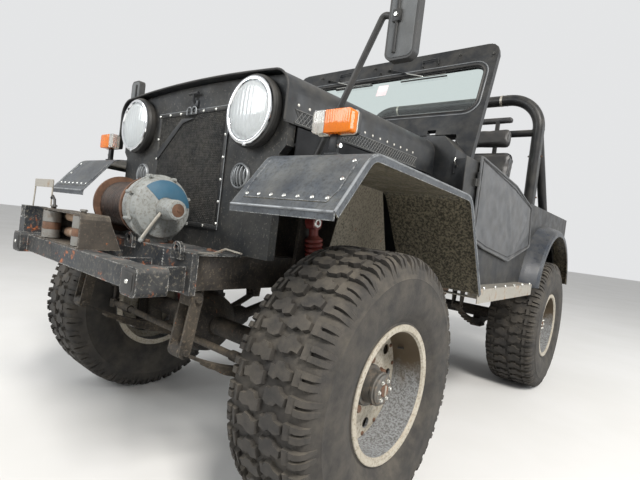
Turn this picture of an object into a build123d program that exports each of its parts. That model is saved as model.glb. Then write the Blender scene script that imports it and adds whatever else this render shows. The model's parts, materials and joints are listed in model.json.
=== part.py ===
from build123d import *
import math
import os

# An open four wheel drive utility car with flat front fenders, a folding windshield,
# soft half doors, a front winch and wide mud tyres.
# Lengths are millimetres. X is to the car's left, Y to its rear, Z up from the ground.
# Along the car, places are measured from the front axle, as in a workshop manual.
# The last section moves everything so that the origin is under the middle of the car.

# Wheels and tyres
WHEELBASE = 2030.0
AXLE_Z = 415.0            # also the tyre's outer radius: it stands on Z = 0
TYRE_WIDTH = 300.0
TREAD_WIDTH = 264.0
WHEEL_X = 663.0           # middle plane of a wheel
LUG_PITCHES = 21          # the tread's pattern comes round this many times
LUG_DEPTH = 12.0
SHOULDER_LUG = 0.62       # share of a pitch
SHOULDER_FOOT = 46.0      # inner end of the shoulder lugs, from the middle plane
MIDDLE_GROOVE = 9.0
RIM_WIDTH = 268.0
BEAD_RADIUS = 190.0
RIM_FLANGE_RADIUS = 207.0
RIM_WALL = 7.0
DISC_X = 700.0            # outer face of the wheel disc, deep inside the rim
SEAT_GAP = 0.3            # between pieces that lie against each other
RUNNING_GAP = 0.1         # radial, between a pin and its bore

# Steering
KINGPIN_X = 560.0
KINGPIN_RADIUS = 14.0
STEER_ARM_X = 70.0        # ball joint, inboard of the kingpin
STEER_ARM_Y = 240.0       # ball joint, ahead of the axle
TIE_ROD_Z = 438.0
BALL_PIN = 8.0
BALL_EYE = 19.0           # radius of the eye at each end of the tie rod
BALL_EYE_HALF = 17.0      # half its height
STEER_WHEEL_RADIUS = 195.0
STEER_CENTRE = (-350.0, 935.0, 1215.0)
STEER_BASE = (-350.0, 640.0, 1060.0)
STEER_PLANE = Plane(origin=STEER_CENTRE, x_dir=(1, 0, 0),
                    z_dir=Vector(*STEER_CENTRE) - Vector(*STEER_BASE))
COLUMN_RADIUS = 24.0

# Frame
RAIL_OUTER_X = 380.0
RAIL_WIDTH = 50.0
RAIL_TOP = 760.0
RAIL_HEIGHT = 100.0
RAIL_WALL = 5.0
RAIL_FRONT = -457.0
JACK_PAD_Y = 1200.0
JACK_PAD_LENGTH = 120.0
JACK_PAD_THICK = 8.0
REAR_FACE = 2730.0        # rear face of the tub and end of the rails

# Springs, under the axles
SPRING_X = 342.0
SPRING_WIDTH = 46.0
SPRING_HALF = 436.0
EYE_Z = 484.0
LEAF = 8.0
AXLE_TUBE_RADIUS = 38.0
DIFF_X = -150.0
PINION = 205.0            # from the axle to the face of the pinion flange
PINION_Z = 421.0

# Shock absorbers, behind the axle tubes: eyes as (y from the axle, z)
SHOCK_X = 425.0
SHOCK_EYE = 24.0
SHOCK_EYE_HALF = 18.0
SHOCK_LOW = (68.0, 403.0)
SHOCK_HIGH_FRONT = (-20.0, 890.0)
SHOCK_HIGH_REAR = (-20.0, 722.0)

# Body
BODY_HALF = 700.0
SHEET = 3.0
SILL_Z = 683.0
FLOOR_Z = 775.0
REAR_FLOOR_Y = 1500.0      # from here to the rear the floor is raised
REAR_FLOOR_STEP = 6.0
TUB_TOP = 1170.0
FIREWALL_Y = 605.0
COWL_REAR = 722.0
COWL_HALF = BODY_HALF - 70.0
COWL_TOP = 1336.0
COWL_SIDE_TOP = 1237.0
COWL_SLANT = 62.0
DASH_LOW = 1085.0
HOOD_FRONT = -288.0
HOOD_REAR = 575.0
HOOD_HALF_FRONT = 503.0
HOOD_HALF_REAR = 548.0
HOOD_TOP = 1334.0
HOOD_CROWN = 17.0         # how much the middle stands above the edges
HOOD_SIDE_BOTTOM = 1162.0
HOOD_ROUND = 66.0
TUNNEL_HALF = 150.0
TUNNEL_TOP = 893.0
TUNNEL_END = 1120.0
CLEAR = 5.0               # between moving and fixed panels

# Front fenders: the outer surface, seen from the side, as (y, z)
FENDER_INNER = 478.0
FENDER_OUTER = 827.0
FENDER_LINE = [(-423.0, 912.0), (-303.0, 1065.0), (332.0, 1047.0), (549.0, 694.0)]
FENDER_LIP = 20.0
FENDER_BEND = 60.0        # radius of its two bends
APRON_X = 425.0           # foot of the inner fender panel

# Grille
GRILLE_FACE = -262.0
GRILLE_DEPTH = 30.0
GRILLE_LOW_HALF = 470.0
LAMP_X = 357.0
LAMP_Z = 1201.0
LAMP_RADIUS = 93.0
MIRROR_FOOT_X = 560.0
MIRROR_FOOT_Y = -200.0
MIRROR_WIDTH = 86.0
MIRROR_HALF = 13.5        # half the depth of its head
SIGNAL_WIDTH = 130.0      # turn signal, across the car
SIGNAL_INSET = 100.0      # its outer end, from the fender's edge
MARKER_RADIUS = 42.0
MARKER_X = 311.0
MARKER_Z = 1007.0
MIRROR_LOW = 1328.0
MIRROR_HEIGHT = 212.0
MESH_HALF = 220.0
MESH_LOW = 827.0
MESH_HIGH = 1240.0
MESH_BORDER = 16.0

# Windshield
WIND_HINGE_Y = 780.5
WIND_HINGE_Z = 1360.0
WIND_RAKE = 18.2
WIND_HALF = BODY_HALF - 55.0
WIND_HEIGHT = 522.0       # along the slope, above the hinge
WIND_FOOT = 119.0         # the legs, along the slope, below the hinge
WIND_THICK = 30.0
WIND_LOW = 22.0           # lower edge of the panel between the legs
WIND_NOTCH = 50.0         # room for the hinge brackets in that edge
WIND_PLANE = Plane(origin=(0, WIND_HINGE_Y, WIND_HINGE_Z), x_dir=(1, 0, 0),
                   z_dir=(0, -math.cos(math.radians(WIND_RAKE)), math.sin(math.radians(WIND_RAKE))))
GLASS_HALF = WIND_HALF - 45.0
GLASS_LOW = 146.0
GLASS_HIGH = 408.0
GLASS_THICK = 5.0
GLASS_ROUND = 50.0

# Hinges
HOOD_HINGE_Y = 590.0
HOOD_HINGE_Z = 1345.0
HOOD_HINGES = (-380.0, 320.0)
WIND_HINGES = (-480.0, 440.0)
GATE_HINGES = (-300.0, 260.0)
BARREL = 8.0
PIN = 4.0
DOOR_HINGE_X = BODY_HALF + 13.0
DOOR_HINGE_Y = 672.0
GATE_HINGE_Y = 2740.0
GATE_HINGE_Z = 782.0
GATE_HALF = 464.0

# Front bumper and winch
BUMPER_HALF = 400.0
BUMPER_FRONT = -465.0
BUMPER_LOW = 651.0
BUMPER_TOP = 766.0
BUMPER_WALL = 6.0
TRAY_REAR = -300.0
TUBE_FRONT = -622.0
TUBE_REAR = -564.0
TUBE_LOW = 670.0
TUBE_TOP = 726.0
TUBE_HALF = 385.0
RECEIVER_FRONT = -645.0
RECEIVER_WIDTH = 75.0
RECEIVER_LOW = 664.0
RECEIVER_TOP = 734.0
HOOK_RADIUS = 24.0
HOOK_THICK = 12.0
WINCH_Y = -405.0
WINCH_Z = 875.0
DRUM_LEFT = 35.0
DRUM_RIGHT = -170.0
DRUM_FLANGE = 98.0
DRUM_SHAFT = 18.0
FAIRLEAD_X = -116.0
FAIRLEAD_Y = -597.0
FAIRLEAD_TOP = 832.0
ROLLER_SPAN = 126.0       # upright roller, to each side of the fairlead's middle
ROLLER_RADIUS = 26.0
LEVEL_ROLLER_Y = -552.0
LEVEL_ROLLER_RADIUS = 16.0

# Rear arch
ARCH_Y = 2040.0
ARCH_Z = 570.0
ARCH_RADIUS = 460.0
FLARE_WIDTH = 100.0       # how far it stands out of the body side
FLARE_THICK = 6.0
WHEEL_BOX_X = 450.0
WHEEL_BOX_TOP = 1045.0

# Roll bar
BAR_Y = 1790.0
BAR_X = BODY_HALF - 60.0
BAR_TOP = 1865.0
BAR_RADIUS = 35.0
BAR_BEND = 200.0

# Side steps
STEP_WIDTH = 80.0
STEP_TOP = 700.0
STEP_EDGE = 60.0          # height of its folded outer edge

# Rear bumper
REAR_BUMPER_END = 2780.0
REAR_BUMPER_HALF = 600.0
REAR_BUMPER_LOW = 645.0
REAR_BUMPER_TOP = 745.0
TOW_BOLTS_X = 83.0
TOW_BOLTS_Z = 56.0
TOW_BOLT_RADIUS = 6.5

MIDDLE_Y = (RECEIVER_FRONT + REAR_BUMPER_END) / 2

pieces = {}


def block(x0, x1, y0, y1, z0, z1):
    """A box given by its faces."""
    middle = Pos((x0 + x1) / 2, (y0 + y1) / 2, (z0 + z1) / 2)
    return middle * Box(x1 - x0, y1 - y0, z1 - z0)


def side_plate(outline, x0, x1):
    """A side view outline of (y, z) points, thick from x0 to x1."""
    edge = Polyline(*[(x0, y, z) for y, z in outline], close=True)
    return extrude(make_face(edge), amount=x1 - x0, dir=(1, 0, 0))


def front_plate(outline, y0, y1):
    """A front view outline of (x, z) points, thick from y0 to y1."""
    edge = Polyline(*[(x, y0, z) for x, z in outline], close=True)
    return extrude(make_face(edge), amount=y1 - y0, dir=(0, 1, 0))


def plan_plate(outline, z0, z1):
    """A plan view outline of (x, y) points, thick from z0 to z1."""
    edge = Polyline(*[(x, y, z0) for x, y in outline], close=True)
    return extrude(make_face(edge), amount=z1 - z0, dir=(0, 0, 1))


def rod(start, end, radius):
    """A round bar between two points."""
    path = Vector(*end) - Vector(*start)
    return extrude(Plane(origin=start, z_dir=path) * Circle(radius), amount=path.length)


def turned_x(profile, y, z):
    """A turned piece on an axis along X: profile is (x, radius) points."""
    edge = Polyline(*[(x, y, z + r) for x, r in profile], close=True)
    return revolve(make_face(edge), Axis((0, y, z), (1, 0, 0)))


def turned_y(profile, x, z):
    """A turned piece on an axis along Y: profile is (y, radius) points."""
    edge = Polyline(*[(x, y, z + r) for y, r in profile], close=True)
    return revolve(make_face(edge), Axis((x, 0, z), (0, 1, 0)))


def bent_line(points, thickness):
    """The outline of a sheet bent along the points; the thickness is on the line's right."""
    normals = []
    for (a, b), (c, d) in zip(points, points[1:]):
        length = math.hypot(c - a, d - b)
        normals.append(((d - b) / length, -(c - a) / length))
    inner = []
    for index, (a, b) in enumerate(points):
        before = normals[max(index - 1, 0)]
        after = normals[min(index, len(normals) - 1)]
        share = thickness / (1 + before[0] * after[0] + before[1] * after[1])
        inner.append((a + share * (before[0] + after[0]), b + share * (before[1] + after[1])))
    return points + inner[::-1]


def bent_sheet(points, thickness, bend, x0, x1):
    """A sheet bent along side view points, with rounded bends, from x0 to x1."""
    loop = bent_line(points, thickness)
    outer = FilletPolyline(*[(x0, y, z) for y, z in loop[:len(points)]], radius=bend)
    inner = FilletPolyline(*[(x0, y, z) for y, z in loop[len(points):]], radius=bend - thickness)
    edges = [outer, Line(outer @ 1, inner @ 0), inner, Line(inner @ 1, outer @ 0)]
    return extrude(make_face(edges), amount=x1 - x0, dir=(1, 0, 0))


def both_sides(shape):
    """A piece and its mirror image on the car's other side."""
    return [shape, mirror(shape, about=Plane.YZ)]


def tube(points, radius, wall, bend):
    """A bent tube along the points."""
    path = FilletPolyline(*points, radius=bend) if len(points) > 2 else Line(*points)
    start = Plane(origin=path @ 0, z_dir=path % 0)
    outer = sweep(start * Circle(radius), path=path)
    if wall == 0:
        return outer
    return outer - sweep(start * Circle(radius - wall), path=path)


def add(name, shapes):
    """Keep a piece, or several like pieces, under one name."""
    solids = []
    for shape in shapes if isinstance(shapes, list) else [shapes]:
        solids.extend(shape.solids())
    pieces[name] = solids


def hinge_x(x, y, z, length, fixed_leaf, moving_leaf):
    """Half knuckles on one pin along X. Leaves are (y0, y1, z0, z1) blocks."""
    def knuckle(x0, x1, leaf):
        return rod((x0, y, z), (x1, y, z), BARREL) + block(x0, x1, *leaf)
    fixed = knuckle(x - length, x, fixed_leaf) + rod((x - 1, y, z), (x + length - 1, y, z), PIN)
    bore = rod((x, y, z), (x + length + 1, y, z), PIN + RUNNING_GAP)
    moving = knuckle(x + SEAT_GAP, x + length, moving_leaf) - bore
    return fixed, moving


# Wheels: tyre, rim, disc and hub

def tread_grooves():
    """What is cut away between the lugs, on a wheel at the origin."""
    half = TYRE_WIDTH / 2
    tread = TREAD_WIDTH / 2
    crown = AXLE_Z
    floor = crown - LUG_DEPTH
    pitch = 2 * math.pi * crown / LUG_PITCHES
    wide = pitch * (1 - SHOULDER_LUG)
    shoulder = [(SHOULDER_FOOT, floor), (tread - 38, floor), (tread - 14, floor - 7), (tread - 4, crown - 42),
                (half + 6, crown - 88), (half + 20, crown + 10), (SHOULDER_FOOT, crown + 10)]
    edge = make_face(Polyline(*[(a, -wide / 2, r) for a, r in shoulder], close=True))
    outer_cut = extrude(edge, amount=wide, dir=(0, 1, 0))
    middle_cut = Pos(0, 0, crown) * Rot(0, 0, 38) * Box(2 * SHOULDER_FOOT + 26, MIDDLE_GROOVE, 2 * LUG_DEPTH)
    cuts = []
    for step in range(LUG_PITCHES):
        turn = 360 * step / LUG_PITCHES
        half_turn = turn + 180 / LUG_PITCHES
        cuts.append(Rot(turn, 0, 0) * outer_cut)
        cuts.append(Rot(half_turn, 0, 0) * mirror(outer_cut, about=Plane.YZ))
        cuts.append(Rot(turn, 0, 0) * middle_cut)
        cuts.append(Rot(half_turn, 0, 0) * mirror(middle_cut, about=Plane.YZ))
    return cuts


def tyre():
    """A wide mud tyre with an open casing, on a wheel at the origin."""
    half = TYRE_WIDTH / 2
    tread = TREAD_WIDTH / 2
    low = BEAD_RADIUS + SEAT_GAP
    bead = RIM_WIDTH / 2 - RIM_WALL - SEAT_GAP
    crown = AXLE_Z
    right = [
        (bead, low), (bead, RIM_FLANGE_RADIUS + 8), (half, 285), (half, 325),
        (tread + 4, 388), (tread - 10, crown - 5), (tread - 40, crown),
    ]
    inside = [(tread - 30, 378), (half - 14, 325), (half - 14, 285), (bead - 12, 225), (bead - 22, low)]
    loop = right + [(-a, r) for a, r in right[::-1]] + [(-a, r) for a, r in inside[::-1]] + inside
    return turned_x(loop, 0, 0) - tread_grooves()


def rim(y, steered):
    """A deep steel rim with its disc and the hub that it is bolted to."""
    half = RIM_WIDTH / 2
    seat = BEAD_RADIUS
    well = 165.0
    outside = [
        (-half, RIM_FLANGE_RADIUS), (-half + RIM_WALL, RIM_FLANGE_RADIUS), (-half + RIM_WALL, seat),
        (-half + 50, seat), (-half + 70, well), (-half + 110, well), (-half + 130, seat),
        (half - RIM_WALL, seat), (half - RIM_WALL, RIM_FLANGE_RADIUS - 2), (half - 4, RIM_FLANGE_RADIUS),
        (half - 1, RIM_FLANGE_RADIUS - 1), (half, RIM_FLANGE_RADIUS - 4),
    ]
    inside = [
        (half - 1, seat - 2), (half - 8, seat - RIM_WALL), (-half + 130, seat - RIM_WALL),
        (-half + 110, well - RIM_WALL),
        (-half + 70, well - RIM_WALL), (-half + 50, seat - RIM_WALL), (-half, seat - RIM_WALL),
    ]
    shell = turned_x([(WHEEL_X + a, r) for a, r in outside + inside], y, AXLE_Z)
    face = DISC_X
    disc = turned_x([
        (face - 8, 40), (face, 40), (face, 95), (face - 14, 130), (face - 14, seat - RIM_WALL + 1),
        (face - 22, seat - RIM_WALL + 1), (face - 22, 126), (face - 8, 90),
    ], y, AXLE_Z)
    holes = []
    for step in range(10):
        angle = math.radians(36 * step)
        spot = (y + 148 * math.cos(angle), AXLE_Z + 148 * math.sin(angle))
        holes.append(rod((face - 30, *spot), (face + 5, *spot), 17))
    disc = disc - holes
    inner = 625.0 if steered else 600.0
    drum_back = 632.0
    hub = turned_x([
        (drum_back, 75), (drum_back, 140), (face - 24, 140), (face - 24, 80), (face - 8, 80),
        (face - 8, 62), (face + 14, 62), (face + 14, 50), (face + 58, 44), (face + 62, 38),
        (face + 62, 0), (face + 20, 0), (face + 20, 30 + RUNNING_GAP), (inner, 30 + RUNNING_GAP),
        (inner, 45), (drum_back + 12, 45), (drum_back + 12, 75),
    ], y, AXLE_Z)
    return shell + disc + hub


def add_wheels():
    """One tyre and one wheel for each corner."""
    casing = tyre()
    for place, y, steered in (("front", 0.0, True), ("rear", WHEELBASE, False)):
        for side, shape in zip(("left", "right"), both_sides(Pos(WHEEL_X, y, AXLE_Z) * casing)):
            add(f"tyre_{place}_{side}", shape)
        for side, shape in zip(("left", "right"), both_sides(rim(y, steered))):
            add(f"wheel_{place}_{side}", shape)


# Axles, steering, springs

def differential(y, nose):
    """The round housing on an axle; nose is -1 or 1, the side of its pinion."""
    x = DIFF_X
    ball = turned_x([(x - 95, 0), (x - 95, 50), (x - 55, 118), (x, 132), (x + 55, 118),
                     (x + 95, 50), (x + 95, 0)], y, AXLE_Z)
    pinion = rod((x, y, PINION_Z), (x, y + nose * PINION, PINION_Z), 44)
    return ball + pinion


def axle(y, nose, steered):
    """An axle tube with its differential, spring pads and stub shafts."""
    end = KINGPIN_X if steered else 592.0
    shape = rod((-end, y, AXLE_Z), (end, y, AXLE_Z), AXLE_TUBE_RADIUS) + differential(y, nose)
    pad_low = EYE_Z - spring_rise() + SEAT_GAP + 40 ** 2 / (2 * spring_bow())
    for side in (-1, 1):
        x = side * SPRING_X
        shape = shape + block(x - SPRING_WIDTH / 2, x + SPRING_WIDTH / 2, y - 40, y + 40, pad_low, AXLE_Z)
        eye = side * (SHOCK_X + SHOCK_EYE_HALF + SEAT_GAP)
        outer = eye + side * 6
        shape = shape + block(min(eye, outer), max(eye, outer), y, y + SHOCK_LOW[0] + SHOCK_EYE,
                              SHOCK_LOW[1] - 18, SHOCK_LOW[1] + 22)
        if steered:
            pivot = side * KINGPIN_X
            shape = shape + rod((pivot, y, AXLE_Z - 92), (pivot, y, AXLE_Z + 92), 36)
            shape = shape + rod((pivot, y, AXLE_Z - 118), (pivot, y, AXLE_Z + 118), KINGPIN_RADIUS)
        else:
            plate = side * 592.0
            tip = side * (DISC_X + 18)
            shape = shape + rod((plate, y, AXLE_Z), (tip, y, AXLE_Z), 30)
            shape = shape + rod((plate - side * 12, y, AXLE_Z), (plate, y, AXLE_Z), 130)
    return shape


def spring_rise():
    """How far the eyes stand above the middle of the top leaf."""
    return EYE_Z - (AXLE_Z - AXLE_TUBE_RADIUS - 10)


def spring_bow():
    """The radius that the top leaf is bent to."""
    rise = spring_rise()
    return (SPRING_HALF ** 2 + rise ** 2) / (2 * rise)


def leaf(index, x0, x1, y):
    """One leaf of the pack, counted down from the top one."""
    bow = spring_bow()
    centre = EYE_Z - spring_rise() + bow
    half = SPRING_HALF if index == 0 else 400.0 - 62.0 * index
    swing = math.asin(half / bow)
    upper = bow + LEAF * index
    lower = upper + LEAF

    def spot(radius, angle):
        return (x0, y + radius * math.sin(angle), centre - radius * math.cos(angle))
    edges = [
        ThreePointArc(spot(upper, -swing), spot(upper, 0), spot(upper, swing)),
        Line(spot(upper, swing), spot(lower, swing)),
        ThreePointArc(spot(lower, swing), spot(lower, 0), spot(lower, -swing)),
        Line(spot(lower, -swing), spot(upper, -swing)),
    ]
    return extrude(make_face(edges), amount=x1 - x0, dir=(1, 0, 0))


def link_plates(x, y0, z0, y1, z1, width, half):
    """Two plates beside a spring eye, with round ends, and their bolts."""
    shape = None
    for side in (-1, 1):
        inner = x + side * half
        outer = x + side * (half + 6)
        low, high = min(inner, outer), max(inner, outer)
        length = math.hypot(y1 - y0, z1 - z0)
        across = ((z1 - z0) / length * width, -(y1 - y0) / length * width)
        bar = side_plate([
            (y0 + across[0], z0 + across[1]), (y1 + across[0], z1 + across[1]),
            (y1 - across[0], z1 - across[1]), (y0 - across[0], z0 - across[1]),
        ], low, high)
        bar = bar + rod((low, y0, z0), (high, y0, z0), width) + rod((low, y1, z1), (high, y1, z1), width)
        shape = bar if shape is None else shape + bar
    for y, z in ((y0, z0), (y1, z1)):
        shape = shape + rod((x - half - 16, y, z), (x + half + 16, y, z), 9)
    return shape


def spring(y, shackle_side):
    """A leaf spring with its shackle at one end and a fixed hanger at the other."""
    x0 = SPRING_X - SPRING_WIDTH / 2
    x1 = SPRING_X + SPRING_WIDTH / 2
    shape = leaf(0, x0, x1, y)
    for index in range(1, 6):
        shape = shape + leaf(index, x0, x1, y)
    for end in (-1, 1):
        centre = (y + end * SPRING_HALF, EYE_Z)
        shape = shape + rod((x0, *centre), (x1, *centre), 20)
    half = SPRING_WIDTH / 2
    low = RAIL_TOP - RAIL_HEIGHT
    eye = y + shackle_side * SPRING_HALF
    upper = (y + shackle_side * (SPRING_HALF - 22), low - 27)
    shape = shape + link_plates(SPRING_X, eye, EYE_Z, *upper, 19, half)
    shape = shape + block(SPRING_X - half, SPRING_X + half, upper[0] - 22, upper[0] + 22, low - 45, low)
    fixed = y - shackle_side * SPRING_HALF
    for side in (-1, 1):
        inner = SPRING_X + side * half
        outer = SPRING_X + side * (half + 6)
        cheek = [(fixed - 45, low), (fixed + 45, low), (fixed + 22, EYE_Z - 18), (fixed - 22, EYE_Z - 18)]
        shape = shape + side_plate(cheek, min(inner, outer), max(inner, outer))
    bolt = (fixed, EYE_Z)
    shape = shape + rod((x0 - 14, *bolt), (x1 + 14, *bolt), 9)
    clamp_top = EYE_Z - spring_rise() - 5 * LEAF - 3
    shape = shape + block(x0 - 12, x1 + 12, y - 50, y + 50, clamp_top - 14, clamp_top)
    return shape


def shock_absorber(axle_y, high_eye, boot_start):
    """A telescopic shock absorber with a ribbed dust boot over its upper part."""
    low = (SHOCK_X, axle_y + SHOCK_LOW[0], SHOCK_LOW[1])
    high = (SHOCK_X, axle_y + high_eye[0], high_eye[1])
    along = (Vector(*high) - Vector(*low)).normalized()
    length = (Vector(*high) - Vector(*low)).length
    base = Plane(origin=low, z_dir=along)
    profile = [(0, 0), (16, 0), (16, 34), (22, 34), (22, boot_start)]
    level = boot_start
    while level < length - 60:
        profile += [(31, level + 4), (31, level + 12), (24, level + 16)]
        level += 16.0
    profile += [(16, level + 8), (16, length), (0, length)]
    edge = Polyline(*[base.from_local_coords((r, 0, a)) for r, a in profile], close=True)
    shape = revolve(make_face(edge), Axis(low, along))
    for y, z in (low[1:], high[1:]):
        shape = shape + rod((SHOCK_X - SHOCK_EYE_HALF, y, z), (SHOCK_X + SHOCK_EYE_HALF, y, z), SHOCK_EYE)
    return shape


def shock_mount(axle_y, high_eye, with_tower):
    """What holds a shock absorber's upper eye: a boss, on a tower above the front rails."""
    y, z = axle_y + high_eye[0], high_eye[1]
    face = RAIL_OUTER_X
    if with_tower:
        low = RAIL_TOP - RAIL_HEIGHT + 10
        face = RAIL_OUTER_X + 13
        tower = side_plate([(y - 40, low), (y + 40, low), (y + 26, z + 26), (y - 26, z + 26)], RAIL_OUTER_X, face)
    boss = rod((face - 0.5 if with_tower else face, y, z), (SHOCK_X - SHOCK_EYE_HALF - SEAT_GAP, y, z), 12)
    return tower + boss if with_tower else boss


def knuckle(stud_low):
    """The left steering knuckle: a yoke on the kingpin, its spindle and its arm with a ball stud."""
    bore = KINGPIN_RADIUS + RUNNING_GAP
    shape = block(604, 622, -62, 62, AXLE_Z - 118, AXLE_Z + 118)
    for side in (-1, 1):
        near = AXLE_Z + side * (92 + RUNNING_GAP)
        far = AXLE_Z + side * 118
        low, high = min(near, far), max(near, far)
        shape = shape + block(KINGPIN_X, 604, -34, 34, low, high)
        shape = shape + rod((KINGPIN_X, 0, low), (KINGPIN_X, 0, high), 34)
    shape = shape - rod((KINGPIN_X, 0, AXLE_Z - 130), (KINGPIN_X, 0, AXLE_Z + 130), bore)
    shape = shape + rod((604, 0, AXLE_Z), (DISC_X + 18, 0, AXLE_Z), 30)
    ball_x = KINGPIN_X - STEER_ARM_X
    ball_y = -STEER_ARM_Y
    low = AXLE_Z + 100
    arm = plan_plate([
        (KINGPIN_X + 20, 34), (KINGPIN_X + 20, -34), (KINGPIN_X - 42, -62), (ball_x + 14, -150),
        (ball_x + 18, ball_y + 5), (ball_x - 20, ball_y), (ball_x - 17, -110), (KINGPIN_X - 80, 20),
    ], low, AXLE_Z + 118)
    arm = arm + rod((ball_x, ball_y, low), (ball_x, ball_y, low + 18), 20)
    arm = arm + rod((ball_x, ball_y, stud_low), (ball_x, ball_y, low + 1), BALL_PIN)
    pin_hole = rod((KINGPIN_X, 0, low - 10), (KINGPIN_X, 0, low + 30), bore)
    return shape + (arm - pin_hole)


def tie_rod():
    """The rod between the two steering arms, with its adjuster sleeves and closed end eyes."""
    ball_x = KINGPIN_X - STEER_ARM_X
    y = -STEER_ARM_Y
    shape = rod((-ball_x + 12, y, TIE_ROD_Z), (ball_x - 12, y, TIE_ROD_Z), 12)
    for side in (-1, 1):
        x = side * ball_x
        shape = shape + rod((x, y, TIE_ROD_Z - BALL_EYE_HALF), (x, y, TIE_ROD_Z + BALL_EYE_HALF), BALL_EYE)
        shape = shape + rod((x - side * 150, y, TIE_ROD_Z), (x - side * 60, y, TIE_ROD_Z), 17)
    return shape - rod((ball_x, y, TIE_ROD_Z - 30), (ball_x, y, TIE_ROD_Z + 30), BALL_PIN + RUNNING_GAP)


def steering_wheel():
    """A round steering wheel with three spokes, on its column's axis."""
    shape = Torus(STEER_WHEEL_RADIUS, 13) + Pos(0, 0, -30) * Cylinder(32, 50)
    for turn in (90, 210, 330):
        spoke = Pos(STEER_WHEEL_RADIUS / 2, 0, -12) * Box(STEER_WHEEL_RADIUS, 26, 8)
        shape = shape + Rot(0, 0, turn) * spoke
    shape = shape - Pos(0, 0, -60) * Cylinder(11 + RUNNING_GAP, 60)
    return STEER_PLANE * shape


def steering_column():
    """The column from the firewall to the steering wheel."""
    top = tuple(Vector(*STEER_CENTRE) - STEER_PLANE.z_dir * 62)
    tip = tuple(Vector(*STEER_CENTRE) - STEER_PLANE.z_dir * 34)
    jacket = rod(STEER_BASE, top, COLUMN_RADIUS) + rod(STEER_BASE, tip, 11)
    foot = block(-410, -290, FIREWALL_Y + SHEET, 660, 1005, 1115)
    return jacket + foot


def add_running_gear():
    """Axles, springs, shock absorbers and steering."""
    add("axles", [axle(0.0, 1, True), axle(WHEELBASE, -1, False)])
    add("leaf_springs", both_sides(spring(0.0, -1)) + both_sides(spring(WHEELBASE, 1)))
    front_shock = shock_absorber(0.0, SHOCK_HIGH_FRONT, 250.0)
    rear_shock = shock_absorber(WHEELBASE, SHOCK_HIGH_REAR, 130.0)
    add("shock_absorbers", both_sides(front_shock) + both_sides(rear_shock))
    front_mount = shock_mount(0.0, SHOCK_HIGH_FRONT, True)
    rear_mount = shock_mount(WHEELBASE, SHOCK_HIGH_REAR, False)
    add("shock_towers", both_sides(front_mount) + both_sides(rear_mount))
    add("knuckle_left", knuckle(TIE_ROD_Z - BALL_EYE_HALF + 1))
    resting_stud = TIE_ROD_Z + BALL_EYE_HALF + SEAT_GAP    # the right stud ends on its eye
    add("knuckle_right", mirror(knuckle(resting_stud), about=Plane.YZ))
    add("tie_rod", tie_rod())
    add("steering_wheel", steering_wheel())
    add("steering_column", steering_column())


# Frame, engine and what hangs under the floor

def frame_rail():
    """The left rail, a channel open to the inside, with a pad under it for a jack."""
    low = RAIL_TOP - RAIL_HEIGHT
    inner = RAIL_OUTER_X - RAIL_WIDTH
    shape = block(inner, RAIL_OUTER_X, RAIL_FRONT, REAR_FACE - SHEET, low, RAIL_TOP)
    shape = shape - block(inner - 1, RAIL_OUTER_X - RAIL_WALL, RAIL_FRONT - 1, REAR_FACE + 1,
                          low + RAIL_WALL, RAIL_TOP - RAIL_WALL)
    half = JACK_PAD_LENGTH / 2
    return shape + block(inner, RAIL_OUTER_X, JACK_PAD_Y - half, JACK_PAD_Y + half, low - JACK_PAD_THICK, low)


def cross_member(y0, y1):
    """A box section between the webs of the two rails."""
    half = RAIL_OUTER_X - RAIL_WALL
    low = RAIL_TOP - RAIL_HEIGHT + RAIL_WALL
    high = RAIL_TOP - RAIL_WALL
    return block(-half, half, y0, y1, low, high) - block(-half - 1, half + 1, y0 + 4, y1 - 4, low + 4, high - 4)


def power_unit():
    """The engine and gearbox, as plain blocks on their mounts."""
    engine = block(-165, 165, -60, 470, 720, 1190)
    engine = engine + block(-120, 120, -20, 430, 640, 720)
    for side in (-1, 1):
        inner, outer = 165 * side, (RAIL_OUTER_X - RAIL_WALL) * side
        engine = engine + block(min(inner, outer), max(inner, outer), 120, 190, 690, 745)
    box = front_plate([(-110, 660), (110, 660), (110, 800), (70, 860), (-70, 860), (-110, 800)], 520, 905)
    bell = turned_y([(470, 0), (470, 175), (520, 150), (520, 0)], 0, 800)
    transfer = block(-250, 110, 905, 1085, 570, 770) + block(-110, 110, 905, 1085, 770, 850)
    return engine + bell + box + transfer


def propeller_shaft(pinion_y, box_y, box_z):
    """An open shaft with a flange at each end, from the transfer case to a pinion."""
    toward = math.copysign(1, box_y - pinion_y)
    start = (DIFF_X, pinion_y, PINION_Z)
    end = (DIFF_X, box_y, box_z)
    near, far = pinion_y + toward * SEAT_GAP, box_y
    keep = block(DIFF_X - 60, DIFF_X + 60, min(near, far), max(near, far), 300, 800)
    shape = rod(start, end, 25)
    shape = shape + rod((DIFF_X, near, PINION_Z), (DIFF_X, near + toward * 14, PINION_Z), 38)
    shape = shape + rod((DIFF_X, far - toward * 14, box_z), (DIFF_X, far, box_z), 38)
    return shape & keep


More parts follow.
